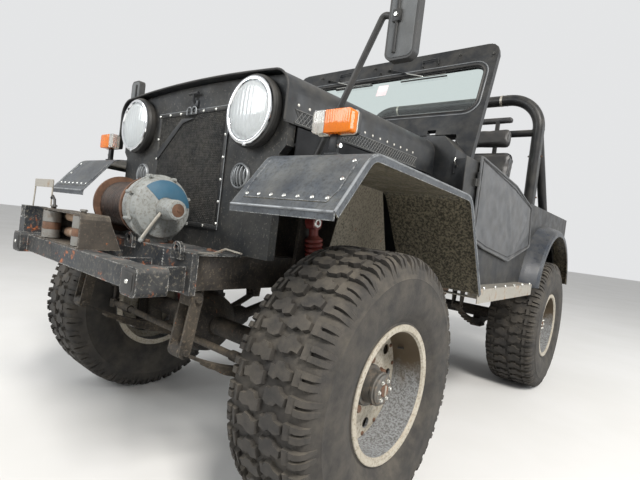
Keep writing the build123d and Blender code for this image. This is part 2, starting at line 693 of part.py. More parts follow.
def add_frame():
    """Rails, cross members, power unit, shafts, exhaust and radiator."""
    add("frame_rails", both_sides(frame_rail()))
    last = REAR_FACE - 160
    members = [cross_member(-230, -180), cross_member(1290, 1350), cross_member(last, last + 70)]
    members.append(block(-RAIL_OUTER_X, RAIL_OUTER_X, 830, 900, 645, RAIL_TOP - RAIL_HEIGHT))
    add("cross_members", members)
    add("power_unit", power_unit())
    front_shaft = propeller_shaft(PINION, 905, 605)
    rear_shaft = propeller_shaft(WHEELBASE - PINION, 1085, 640)
    add("propeller_shafts", [front_shaft, rear_shaft])
    pipe = tube([(165, 330, 760), (225, 330, 760), (225, 480, 590), (225, 1150, 590)], 24, 0, 50)
    muffler = rod((225, 1130, 590), (225, 1540, 590), 70)
    bend = last - 10
    tail = tube([(225, 1530, 590), (225, bend, 590), (300, bend + 140, 590), (300, bend + 210, 590)], 22, 0, 80)
    hangers = block(215, 235, 1305, 1335, 650, 665) + block(215, 235, bend - 20, bend, 600, 665)
    hangers = hangers + block(215, 235, bend - 20, last + 15, 655, 665)
    add("exhaust", pipe + muffler + tail + hangers)
    add("radiator", block(-230, 230, -228, -165, RAIL_TOP - RAIL_WALL, 1225) - block(-200, 200, -229, -215, 800, 1190))


# Front: bumper, winch, grille, lamps

def front_bumper():
    """A folded box on the rail ends, with a square tube and two receivers carried before it."""
    wall = BUMPER_WALL
    half = BUMPER_HALF
    shape = block(-half, half, BUMPER_FRONT, RAIL_FRONT, BUMPER_LOW, BUMPER_TOP)
    shape = shape + block(-half, half, BUMPER_FRONT, TRAY_REAR, RAIL_TOP, BUMPER_TOP)
    shape = shape + block(-half, half, BUMPER_FRONT, RAIL_FRONT + 12, BUMPER_LOW, BUMPER_LOW + wall)
    for side in (-1, 1):
        near, far = side * (half - wall), side * half
        shape = shape + block(min(near, far), max(near, far), BUMPER_FRONT, RAIL_FRONT + 12, BUMPER_LOW, RAIL_TOP)
    seat = TUBE_HALF + 0.8 * wall
    shape = shape + block(-seat, seat, TUBE_FRONT, TUBE_REAR, TUBE_LOW, TUBE_TOP)
    reach = TUBE_HALF + RECEIVER_WIDTH / 2
    bores = [block(-reach, reach, TUBE_FRONT + wall, TUBE_REAR - wall, TUBE_LOW + wall, TUBE_TOP - wall)]
    gusset = [(TUBE_REAR, TUBE_LOW), (BUMPER_FRONT, BUMPER_LOW + 5), (BUMPER_FRONT, TUBE_TOP),
              (TUBE_REAR, TUBE_TOP)]
    for x in (-370.0, -190.0, 0.0, 190.0, 370.0):
        shape = shape + side_plate(gusset, x - 5, x + 5)
    for side in (-1, 1):
        near, far = side * TUBE_HALF, side * (TUBE_HALF + RECEIVER_WIDTH)
        low, high = min(near, far), max(near, far)
        box = block(low, high, RECEIVER_FRONT, TUBE_REAR, RECEIVER_LOW, RECEIVER_TOP)
        shape = shape + fillet(box.edges().filter_by(Axis.Y), 12)
        bores.append(block(low + wall, high - wall, RECEIVER_FRONT - 1, TUBE_REAR - wall,
                           RECEIVER_LOW + wall, RECEIVER_TOP - wall))
    shape = shape - bores
    for x in (60.0, 335.0):
        near, far = BUMPER_FRONT - HOOK_THICK, BUMPER_FRONT
        eye = BUMPER_TOP + 2
        width = HOOK_RADIUS
        lug = rod((x, near, eye), (x, far, eye), width) + block(x - width, x + width, near, far, eye - width, eye)
        shape = shape + (lug - rod((x, near - 1, eye + 4), (x, far + 1, eye + 4), 11))
    return shape


def stacked_clamp():
    """A clamp box with a ribbed block on it, carried by the right receiver."""
    x0, x1 = -TUBE_HALF - RECEIVER_WIDTH + 12, -TUBE_HALF - 12
    shape = block(x0, x1, RECEIVER_FRONT + 10, TUBE_REAR, RECEIVER_TOP, RECEIVER_TOP + 52)
    shape = shape + block(x0 + 6, x1, RECEIVER_FRONT + 14, TUBE_REAR, RECEIVER_TOP + 52, RECEIVER_TOP + 80)
    for step in range(5):
        x = x0 + 10 + 9 * step
        shape = shape + block(x, x + 5, RECEIVER_FRONT + 8, TUBE_REAR, RECEIVER_TOP + 56, RECEIVER_TOP + 96)
    return shape


def fairlead():
    """A bent frame with two upright and two level rope rollers."""
    left, right = FAIRLEAD_X + ROLLER_SPAN, FAIRLEAD_X - ROLLER_SPAN
    low, high = TUBE_TOP, FAIRLEAD_TOP
    level_low = low + 48
    level_high = high - 20
    shape = block(right - 34, left + 34, TUBE_FRONT, LEVEL_ROLLER_Y + 22, low, low + 6)
    strap = [(right - 34, low), (right - 34, high - 16), (right - 29, high - 5), (right - 18, high)]
    strap += [(left + 18, high), (left + 29, high - 5), (left + 34, high - 16), (left + 34, low)]
    shape = shape + front_plate(bent_line(strap, 6), FAIRLEAD_Y - 20, LEVEL_ROLLER_Y + 22)
    for x in (left, right):
        shape = shape + rod((x, FAIRLEAD_Y, low), (x, FAIRLEAD_Y, high + 8), 8)
        shape = shape + rod((x, FAIRLEAD_Y, low + 8), (x, FAIRLEAD_Y, high - 8), ROLLER_RADIUS)
    for x0, x1 in ((left + 28, left + 34), (right - 34, right - 28)):
        shape = shape + side_plate([(FAIRLEAD_Y - 18, low), (LEVEL_ROLLER_Y + 62, low),
                                    (LEVEL_ROLLER_Y + 22, high - 16), (FAIRLEAD_Y - 18, high - 16)], x0, x1)
    for z in (level_low - LEVEL_ROLLER_RADIUS, level_high):
        shape = shape + rod((right - 30, LEVEL_ROLLER_Y, z), (left + 30, LEVEL_ROLLER_Y, z), LEVEL_ROLLER_RADIUS)
    return shape


def winch_housing():
    """The winch's gear case at the left and its plain bearing at the right."""
    start = DRUM_LEFT + 8
    base = BUMPER_TOP
    case = turned_x([
        (start, 0), (start, 96), (start + 10, 100), (start + 40, 100), (start + 42, 106), (start + 54, 106),
        (start + 56, 100), (start + 80, 92), (start + 90, 60), (start + 92, 34), (start + 160, 30),
        (start + 165, 26), (start + 165, 0),
    ], WINCH_Y, WINCH_Z)
    for step in range(8):
        angle = math.radians(22.5 + 45 * step)
        spot = (WINCH_Y + 106 * math.cos(angle), WINCH_Z + 106 * math.sin(angle))
        case = case + rod((start + 32, *spot), (start + 60, *spot), 7)
    case = case + rod((start + 112, WINCH_Y - 26, WINCH_Z - 12), (start + 84, WINCH_Y - 62, WINCH_Z - 96), 5)
    case = case + block(start, start + 60, WINCH_Y - 52, WINCH_Y + 52, base, WINCH_Z - 60)
    case = case - rod((start - 1, WINCH_Y, WINCH_Z), (start + 22, WINCH_Y, WINCH_Z), DRUM_SHAFT + RUNNING_GAP)
    far = DRUM_RIGHT - 8
    bearing = side_plate([
        (WINCH_Y - 52, base), (WINCH_Y + 52, base), (WINCH_Y + 40, WINCH_Z),
        (WINCH_Y + 22, WINCH_Z + 36), (WINCH_Y - 22, WINCH_Z + 36), (WINCH_Y - 40, WINCH_Z),
    ], far - 22, far)
    bearing = bearing - rod((far - 23, WINCH_Y, WINCH_Z), (far + 1, WINCH_Y, WINCH_Z), DRUM_SHAFT + RUNNING_GAP)
    return [case, bearing]


def winch_drum():
    """The drum with its two flanges and shaft."""
    return turned_x([
        (DRUM_RIGHT - 28, 0), (DRUM_RIGHT - 28, DRUM_SHAFT), (DRUM_RIGHT, DRUM_SHAFT),
        (DRUM_RIGHT, DRUM_FLANGE), (DRUM_RIGHT + 9, DRUM_FLANGE), (DRUM_RIGHT + 9, 45),
        (DRUM_LEFT - 9, 45), (DRUM_LEFT - 9, DRUM_FLANGE), (DRUM_LEFT, DRUM_FLANGE),
        (DRUM_LEFT, DRUM_SHAFT), (DRUM_LEFT + 28, DRUM_SHAFT), (DRUM_LEFT + 28, 0),
    ], WINCH_Y, WINCH_Z)


def winch_rope():
    """The rope wound on the drum."""
    gap = SEAT_GAP
    return turned_x([
        (DRUM_RIGHT + 9 + gap, 45 + gap), (DRUM_RIGHT + 9 + gap, 80), (DRUM_LEFT - 9 - gap, 80),
        (DRUM_LEFT - 9 - gap, 45 + gap),
    ], WINCH_Y, WINCH_Z)


def grille_panel():
    """The flat front panel with returned edges, open behind the mesh."""
    inset = SHEET + CLEAR
    half = HOOD_HALF_FRONT - inset
    back = GRILLE_FACE + GRILLE_DEPTH
    low = RAIL_TOP
    outer = extrude(hood_section(HOOD_HALF_FRONT, inset, GRILLE_FACE, low), amount=GRILLE_DEPTH, dir=(0, 1, 0))
    narrow = GRILLE_LOW_HALF
    for side in (-1, 1):
        outer = outer - front_plate([(side * narrow, low - 1), (side * (half + 5), low - 1), (side * (half + 5), 1105),
                                     (side * half, 1100), (side * narrow, 1075)], GRILLE_FACE - 1, back + 1)
    hollow = block(-narrow + 4, narrow - 4, GRILLE_FACE + 4, back + 1, low + 4, HOOD_TOP - inset - HOOD_ROUND)
    window = block(-MESH_HALF + 25, MESH_HALF - 25, GRILLE_FACE - 1, back + 1, MESH_LOW + 20, MESH_HIGH - 25)
    return outer - hollow - window


def grille_mesh():
    """The woven panel over the opening, held by strips round its edge."""
    low, high = MESH_LOW, MESH_HIGH
    panel = block(-MESH_HALF, MESH_HALF, GRILLE_FACE - 4, GRILLE_FACE, low, high)
    border = MESH_BORDER
    step = block(-MESH_HALF + border, MESH_HALF - border, GRILLE_FACE - 5, GRILLE_FACE - 2, low + border, high - border)
    return panel - step


def headlamps():
    """Round lamp buckets and the domed lenses in their rims."""
    front = GRILLE_FACE
    cup = turned_y([
        (front, 0), (front, 106), (front - 10, 111), (front - 24, 112), (front - 32, 110), (front - 36, 105),
        (front - 34, 100), (front - 8, 100), (front - 8, 0),
    ], LAMP_X, LAMP_Z)
    lens = turned_y([
        (front - 8 - SEAT_GAP, 0), (front - 8 - SEAT_GAP, 96), (front - 30, 99), (front - 33, LAMP_RADIUS),
        (front - 40, 80), (front - 46, 50), (front - 48, 0),
    ], LAMP_X, LAMP_Z)
    return cup, lens


def fender_top(y):
    """Height of the fender's upper surface at y, on its flat top."""
    (y1, z1), (y2, z2) = FENDER_LINE[1], FENDER_LINE[2]
    return z1 + (z2 - z1) * (y - y1) / (y2 - y1)


def signal_lamps():
    """Turn signals on the fenders, round marker lamps on the panel, and tail lamps."""
    top = 1187.0
    low = 1122.0
    outer = FENDER_OUTER - SIGNAL_INSET
    inner = outer - SIGNAL_WIDTH
    lamp = block(inner, outer, -267, -226, low, top)
    lamp = fillet(lamp.edges().filter_by(Axis.Y), 8)
    glass = block(inner + 4, outer - 4, -273, -267, low + 4, top - 4)
    glass = fillet(glass.edges().filter_by(Axis.Y), 6)
    middle = (inner + outer) / 2
    stalk = block(middle - 22, middle + 22, -262, -236, fender_top(-262) + SEAT_GAP, low)
    tail = block(560, 640, REAR_FACE, REAR_FACE + 30, 900, 1010)
    tail = fillet(tail.edges().filter_by(Axis.Y), 8) + block(566, 634, REAR_FACE + 30, REAR_FACE + 42, 906, 1004)
    return both_sides(lamp + glass + stalk) + both_sides(marker_lamp()) + both_sides(tail)


def marker_lamp():
    """A round lamp on the panel behind upright slats that bulge in the middle."""
    face = GRILLE_FACE
    rim = MARKER_RADIUS
    shape = turned_y([(face, 0), (face, rim), (face - 8, rim), (face - 11, rim - 3), (face - 8, rim - 6),
                      (face - 5, rim - 6), (face - 5, 0)], MARKER_X, MARKER_Z)
    reach = rim - 5
    for step in range(-2, 3):
        x = 13.0 * step
        half = math.sqrt(reach ** 2 - x ** 2)
        tip = face - 12 - 9 * (half / reach) ** 2
        spots = [(face - 4, MARKER_Z - half), (face - 4, MARKER_Z + half), (face - 8, MARKER_Z + half)]
        spots += [(tip, MARKER_Z + half / 2), (tip, MARKER_Z - half / 2), (face - 8, MARKER_Z - half)]
        shape = shape + side_plate(spots, MARKER_X + x - 2, MARKER_X + x + 2)
    return shape


def mirror_and_arm(back, low):
    """A long arm from the fender with a tall rounded mirror head, swung back and down by the two."""
    foot = (MIRROR_FOOT_X, MIRROR_FOOT_Y, fender_top(MIRROR_FOOT_Y) + 14)
    head_z = MIRROR_LOW - low
    middle_y = MIRROR_FOOT_Y + 29 + back
    elbow = (FENDER_OUTER - MIRROR_WIDTH - 26, middle_y, head_z + 134)
    arm = tube([foot, elbow, (FENDER_OUTER - MIRROR_WIDTH / 2, middle_y, head_z + 112)], 9, 0, 12)
    under = fender_top(MIRROR_FOOT_Y - 25) + SEAT_GAP
    base = block(MIRROR_FOOT_X - 25, MIRROR_FOOT_X + 25, MIRROR_FOOT_Y - 25, MIRROR_FOOT_Y + 25, under, under + 11)
    head = block(FENDER_OUTER - MIRROR_WIDTH, FENDER_OUTER, middle_y - MIRROR_HALF, middle_y + MIRROR_HALF,
                 head_z, head_z + MIRROR_HEIGHT)
    head = fillet(head.edges().filter_by(Axis.Y), 22)
    return arm + base + head


def add_front():
    """Everything ahead of the hood."""
    add("front_bumper", front_bumper())
    add("receiver_clamp", stacked_clamp())
    add("fairlead", fairlead())
    add("winch_housing", winch_housing())
    add("winch_drum", winch_drum())
    add("winch_rope", winch_rope())
    add("radiator_grille", grille_panel())
    add("grille_mesh", grille_mesh())
    cup, lens = headlamps()
    add("headlamp_buckets", both_sides(cup))
    add("headlamp_lenses", both_sides(lens))
    add("signal_lamps", signal_lamps())
    add("mirrors", [mirror_and_arm(0, 0), mirror(mirror_and_arm(75, 40), about=Plane.YZ)])


# Sheet metal

def fender():
    """A flat front fender: one bent sheet with a turned down outer lip."""
    sheet = bent_sheet(FENDER_LINE, SHEET, FENDER_BEND, FENDER_INNER, FENDER_OUTER)
    lip = bent_sheet(FENDER_LINE, FENDER_LIP, FENDER_BEND, FENDER_OUTER - 4, FENDER_OUTER)
    nose_y, nose_z = FENDER_LINE[0]
    nose = side_plate([(nose_y, nose_z), (nose_y + 3, nose_z + 3), (nose_y + 3, nose_z - 20), (nose_y, nose_z - 20)],
                      FENDER_INNER, FENDER_OUTER)
    return sheet + lip + nose


def fender_under(y):
    """Height of the fender's underside at y, on its flat top."""
    return fender_top(y) - SHEET - SEAT_GAP


def apron():
    """The inner fender panel: a foot on the rail and a wall leaning out to the fender."""
    high = fender_under(-230)
    wall = front_plate(
        [(RAIL_OUTER_X - 40, RAIL_TOP), (APRON_X, RAIL_TOP), (FENDER_INNER + 12, high), (FENDER_INNER + 9, high),
         (APRON_X - 2, RAIL_TOP + SHEET), (RAIL_OUTER_X - 40, RAIL_TOP + SHEET)], -235, 560)
    corner = FENDER_LINE[2][0] - 0.6 * FENDER_BEND
    outline = [(70, RAIL_TOP - 1), (490, RAIL_TOP - 1), (corner, fender_under(corner)), (-230, high),
               (-230, 935), (70, 935)]
    return wall & side_plate(outline, 300, 560)


def hood_side():
    """The fixed panel between fender and hood, splayed like the hood."""
    y0, y1 = GRILLE_FACE + GRILLE_DEPTH, FIREWALL_Y
    splay = (HOOD_HALF_REAR - HOOD_HALF_FRONT) / (HOOD_REAR - HOOD_FRONT)
    x0 = HOOD_HALF_FRONT + splay * (y0 - HOOD_FRONT)
    x1 = HOOD_HALF_FRONT + splay * (y1 - HOOD_FRONT)
    strip = plan_plate([(x0 - SHEET, y0), (x0, y0), (x1, y1), (x1 - SHEET, y1)], 600, 1300)
    gap = SEAT_GAP + 1
    corner = FENDER_LINE[2]
    outline = [(y0, fender_under(y0) + SHEET + gap), (corner[0] + 2, corner[1] + gap), (549, 700), (y1, 700),
               (y1, HOOD_SIDE_BOTTOM - CLEAR), (y0, HOOD_SIDE_BOTTOM - CLEAR)]
    return strip & side_plate(outline, 400, 700)


def hood_section(half, inset, y, low):
    """The hood's cross section at y: slightly crowned top, round edges, straight sides."""
    half = half - inset
    top = HOOD_TOP - inset
    edge = top - HOOD_CROWN
    bend = HOOD_ROUND - inset
    turn = bend * (1 - math.sqrt(0.5))
    edges = [
        Line((-half, y, low), (-half, y, edge - bend)),
        ThreePointArc((-half, y, edge - bend), (-half + turn, y, edge - turn), (-half + bend, y, edge)),
        ThreePointArc((-half + bend, y, edge), (0, y, top), (half - bend, y, edge)),
        ThreePointArc((half - bend, y, edge), (half - turn, y, edge - turn), (half, y, edge - bend)),
        Line((half, y, edge - bend), (half, y, low)),
        Line((half, y, low), (-half, y, low)),
    ]
    return make_face(edges)


def hood():
    """A hood with rolled edges that widens to the rear."""
    low = HOOD_SIDE_BOTTOM
    outer = loft([hood_section(HOOD_HALF_FRONT, 0, HOOD_FRONT, low),
                  hood_section(HOOD_HALF_REAR, 0, HOOD_REAR, low)], ruled=True)
    grow = (HOOD_HALF_REAR - HOOD_HALF_FRONT) / (HOOD_REAR - HOOD_FRONT)
    inner = loft([hood_section(HOOD_HALF_FRONT - grow, SHEET, HOOD_FRONT - 1, low - 1),
                  hood_section(HOOD_HALF_REAR + grow, SHEET, HOOD_REAR + 1, low - 1)], ruled=True)
    return outer - inner


def cowl():
    """Firewall, cowl top and instrument panel, welded to one another."""
    half = COWL_HALF
    low = COWL_SIDE_TOP
    slant = COWL_SLANT
    outline = [(-BODY_HALF + SHEET, low), (-half, low), (-half, COWL_TOP - slant), (-half + slant, COWL_TOP),
               (half - slant, COWL_TOP), (half, COWL_TOP - slant), (half, low), (BODY_HALF - SHEET, low)]
    inner = [(-BODY_HALF + SHEET, low - SHEET), (-half + SHEET, low - SHEET), (-half + SHEET, COWL_TOP - slant - 1),
             (-half + slant + 1, COWL_TOP - SHEET), (half - slant - 1, COWL_TOP - SHEET),
             (half - SHEET, COWL_TOP - slant - 1), (half - SHEET, low - SHEET), (BODY_HALF - SHEET, low - SHEET)]
    top = front_plate(outline + inner[::-1], FIREWALL_Y, COWL_REAR)
    base = FLOOR_Z + SHEET
    wall_outline = [(-BODY_HALF + SHEET, base), (-BODY_HALF + SHEET, low)] + outline[1:-1] + [
        (BODY_HALF - SHEET, low), (BODY_HALF - SHEET, base), (TUNNEL_HALF, base), (TUNNEL_HALF, TUNNEL_TOP),
        (-TUNNEL_HALF, TUNNEL_TOP), (-TUNNEL_HALF, base)]
    firewall = front_plate(wall_outline, FIREWALL_Y, FIREWALL_Y + SHEET)
    dash = block(-half + 1, half - 1, COWL_REAR - SHEET, COWL_REAR, DASH_LOW, COWL_TOP - slant)
    dash = dash + block(-half + slant, half - slant, COWL_REAR - SHEET, COWL_REAR, DASH_LOW, COWL_TOP - 1)
    dash = dash + block(-half + 5, half - 5, COWL_REAR - 20, COWL_REAR, DASH_LOW, DASH_LOW + SHEET)
    past = tuple(Vector(*STEER_CENTRE) - STEER_PLANE.z_dir * 100)
    return top + firewall + (dash - rod(STEER_BASE, past, COLUMN_RADIUS + 2))


def tub_floor():
    """The floor with its gearbox tunnel and the two rear wheel boxes."""
    half = BODY_HALF - SHEET
    floor = block(-half, half, FIREWALL_Y, REAR_FACE - SHEET, FLOOR_Z, FLOOR_Z + SHEET)
    tunnel = block(-TUNNEL_HALF, TUNNEL_HALF, FIREWALL_Y, TUNNEL_END, FLOOR_Z, TUNNEL_TOP)
    hole = block(-TUNNEL_HALF + SHEET, TUNNEL_HALF - SHEET, FIREWALL_Y - 1, TUNNEL_END - SHEET,
                 FLOOR_Z - 1, TUNNEL_TOP - SHEET)
    raised = block(-WHEEL_BOX_X + SHEET, WHEEL_BOX_X - SHEET, REAR_FLOOR_Y, REAR_FACE - SHEET,
                   FLOOR_Z + SHEET, FLOOR_Z + SHEET + REAR_FLOOR_STEP)
    floor = floor + tunnel + raised - hole
    for side in (-1, 1):
        near, far = WHEEL_BOX_X * side, half * side
        low, high = min(near, far), max(near, far)
        y0, y1 = ARCH_Y - ARCH_RADIUS + 10, ARCH_Y + ARCH_RADIUS - 10
        box = block(low, high, y0, y1, FLOOR_Z, WHEEL_BOX_TOP)
        wall = SHEET * side
        gap = block(min(near + wall, far + wall), max(near + wall, far + wall), y0 + SHEET, y1 - SHEET,
                    FLOOR_Z - 1, WHEEL_BOX_TOP - SHEET)
        floor = floor + box - gap
    return floor


def body_side():
    """The left side of the tub with its door gap and wheel arch."""
    front = FENDER_LINE[3][0] + 4
    outline = [(front, SILL_Z + 20), (FIREWALL_Y, SILL_Z), (REAR_FACE, SILL_Z), (REAR_FACE, TUB_TOP),
               (1610, TUB_TOP), (1540, 920), (1400, 850), (960, 850), (850, 905), (800, COWL_SIDE_TOP),
               (front, COWL_SIDE_TOP)]
    shape = side_plate(outline, BODY_HALF - SHEET, BODY_HALF)
    shape = shape - rod((BODY_HALF - 20, ARCH_Y, ARCH_Z), (BODY_HALF + 20, ARCH_Y, ARCH_Z), ARCH_RADIUS)
    rail = block(BODY_HALF - 18, BODY_HALF - SHEET, 1615, REAR_FACE - SHEET, TUB_TOP - SHEET, TUB_TOP)
    return shape + rail


def rear_panel():
    """The rear corners of the tub and the strip under the tailgate."""
    half = BODY_HALF - SHEET
    gap = GATE_HALF + CLEAR
    outline = [(-half, SILL_Z), (half, SILL_Z), (half, TUB_TOP), (gap, TUB_TOP), (gap, FLOOR_Z),
               (-gap, FLOOR_Z), (-gap, TUB_TOP), (-half, TUB_TOP)]
    return front_plate(outline, REAR_FACE - SHEET, REAR_FACE)


def tailgate():
    """A pressed tailgate, open to the inside, with two ribs."""
    y0 = REAR_FACE - 28
    low, top = GATE_HINGE_Z + BARREL + 2, TUB_TOP
    shape = block(-GATE_HALF, GATE_HALF, y0, REAR_FACE, low, top)
    for x0, x1 in ((-GATE_HALF + 28, -20), (20, GATE_HALF - 28)):
        shape = shape - block(x0, x1, y0 - 1, REAR_FACE - SHEET, low + 28, top - 28)
    return shape


def flare():
    """A wide rear wheel arch flare: a band round the arch with a lip."""
    start = BODY_HALF
    outer = start + FLARE_WIDTH
    near, far = start + 0.2 * FLARE_WIDTH, start + 0.88 * FLARE_WIDTH
    thick = FLARE_THICK
    profile = [(start, ARCH_RADIUS + 42), (near, ARCH_RADIUS + 36), (far, ARCH_RADIUS + 14),
               (outer, ARCH_RADIUS), (outer, ARCH_RADIUS - 24), (outer - thick, ARCH_RADIUS - 24),
               (outer - thick, ARCH_RADIUS - 2), (far - 4, ARCH_RADIUS + 14 - thick),
               (near, ARCH_RADIUS + 36 - thick), (start, ARCH_RADIUS + 42 - thick)]
    ring = turned_x(profile, ARCH_Y, ARCH_Z)
    reach = 2 * ARCH_RADIUS
    return ring & block(start, outer, ARCH_Y - reach, ARCH_Y + reach, SILL_Z - 5, ARCH_Z + reach)


def side_step():
    """A folded metal step along the sill, on two brackets from the frame."""
    y0, y1 = 655.0, 1530.0
    top = STEP_TOP
    outer = BODY_HALF + STEP_WIDTH
    shape = block(BODY_HALF, outer, y0, y1, top - 4, top)
    shape = shape + block(outer - 4, outer, y0, y1, top - STEP_EDGE, top)
    shape = shape + block(BODY_HALF, BODY_HALF + 4, y0, y1, SILL_Z, top)
    for y in (760.0, 1440.0):
        shape = shape + block(RAIL_OUTER_X, outer - 4, y - 20, y + 20, SILL_Z - 33, SILL_Z - 27)
        shape = shape + block(RAIL_OUTER_X, RAIL_OUTER_X + 6, y - 20, y + 20, SILL_Z - 33, SILL_Z + 50)
        shape = shape + block(BODY_HALF + 6, outer - 4, y - 20, y + 20, SILL_Z - 27, top - 4)
    return shape


def rear_bumper():
    """A plain channel across the frame's end, drilled in its middle for a tow jaw."""
    half = REAR_BUMPER_HALF
    low, high = REAR_BUMPER_LOW, REAR_BUMPER_TOP
    wall = BUMPER_WALL
    shape = block(-half, half, REAR_FACE, REAR_BUMPER_END, low, high)
    shape = shape - block(-half + wall, half - wall, REAR_FACE - 1, REAR_BUMPER_END - wall, low + wall, high - wall)
    shape = shape + block(-60, 60, REAR_FACE, REAR_BUMPER_END - 5, low + wall, high - wall)
    for side in (-1, 1):
        x = side * (RAIL_OUTER_X - RAIL_WIDTH / 2)
        shape = shape + block(x - 25, x + 25, REAR_FACE - SHEET, REAR_BUMPER_END - 5, RAIL_TOP - RAIL_HEIGHT + 5, SILL_Z)
    middle = (low + high) / 2
    for x in (-TOW_BOLTS_X / 2, TOW_BOLTS_X / 2):
        for z in (middle - TOW_BOLTS_Z / 2, middle + TOW_BOLTS_Z / 2):
            shape = shape - rod((x, REAR_FACE - 1, z), (x, REAR_BUMPER_END + 1, z), TOW_BOLT_RADIUS)
    return shape


def roll_bar():
    """A main hoop behind the seats with two rear braces and a cross tube."""
    foot = WHEEL_BOX_TOP
    hoop = tube([(-BAR_X, BAR_Y, foot), (-BAR_X, BAR_Y, BAR_TOP), (BAR_X, BAR_Y, BAR_TOP), (BAR_X, BAR_Y, foot)],
                BAR_RADIUS, 0, BAR_BEND)
    shape = hoop + rod((-BAR_X, BAR_Y, 1640), (BAR_X, BAR_Y, 1640), 22)
    for side in (-1, 1):
        x = BAR_X * side
        shape = shape + rod((x, BAR_Y, BAR_TOP - BAR_BEND), (x, 2290, foot + 4), 28)
        shape = shape + block(x - 50, x + 50, BAR_Y - 60, BAR_Y + 60, foot, foot + 8)
        shape = shape + block(x - 50, x + 50, 2230, 2350, foot, foot + 8)
    keep = block(-1000, 1000, 1500, 2600, foot, 2200)
    return shape & keep


def windshield_frame():
    """A flat framed panel with legs beside the cowl and a wide glass opening."""
    half = WIND_HALF
    leg = 40.0
    low = WIND_LOW
    high = WIND_HEIGHT
    outline = [(-half, -WIND_FOOT), (-half + leg, -WIND_FOOT), (-half + leg + 60, low), (half - leg - 60, low),
               (half - leg, -WIND_FOOT), (half, -WIND_FOOT), (half, high - 60), (half - 8, high - 28),
               (half - 30, high - 7), (half - 60, high), (-half + 60, high), (-half + 30, high - 7),
               (-half + 8, high - 28), (-half, high - 60)]
    flat = make_face(Polyline(*outline, close=True))
    panel = extrude(flat, amount=WIND_THICK / 2, both=True)
    for x in WIND_HINGES:
        panel = panel - block(x - 46, x, 0, WIND_NOTCH, -WIND_THICK, WIND_THICK)
    glass = make_glass(GLASS_HALF, GLASS_LOW, GLASS_HIGH, WIND_THICK)
    return WIND_PLANE * (panel - glass)


def make_glass(half, low, high, thick):
    """The rounded glass outline in the windshield's own plane."""
    shape = Pos(0, (low + high) / 2, 0) * Box(2 * half, high - low, thick + 0.001)
    return fillet(shape.edges().filter_by(Axis.Z), GLASS_ROUND)


def door():
    """A soft half door on its front rod, with a stitched outline."""
    x0 = BODY_HALF + CLEAR
    outline = [(684, 1263), (1243, 1224), (1597, 1142), (1647, 911), (1247, 813), (830, 870), (684, 905)]
    return side_plate(outline, x0, x0 + 12)


def seat(x):
    """A high backed seat on a low box, with a head pad and a bar pad over it."""
    base = block(x - 195, x + 195, 1105, 1475, FLOOR_Z + SHEET, 900)
    cushion = block(x - 240, x + 240, 1055, 1545, 900, 1010)
    cushion = fillet(cushion.edges().filter_by(Axis.Z), 50)
    back = side_plate([(1460, 1005), (1550, 1005), (1645, 1470), (1570, 1478)], x - 225, x + 225)
    back = fillet(back.edges().filter_by(Axis.X).group_by(Axis.Z)[-1], 20)
    head = side_plate([(1585, 1511), (1650, 1508), (1668, 1622), (1603, 1629)], x - 180, x + 180)
    pad = block(x - 180, x + 180, 1612, 1655, 1668, 1705)
    shape = base + cushion + back + head + pad
    for post in (-90, 90):
        shape = shape + block(x + post - 12, x + post + 12, 1612, 1634, 1440, 1690)
    return shape


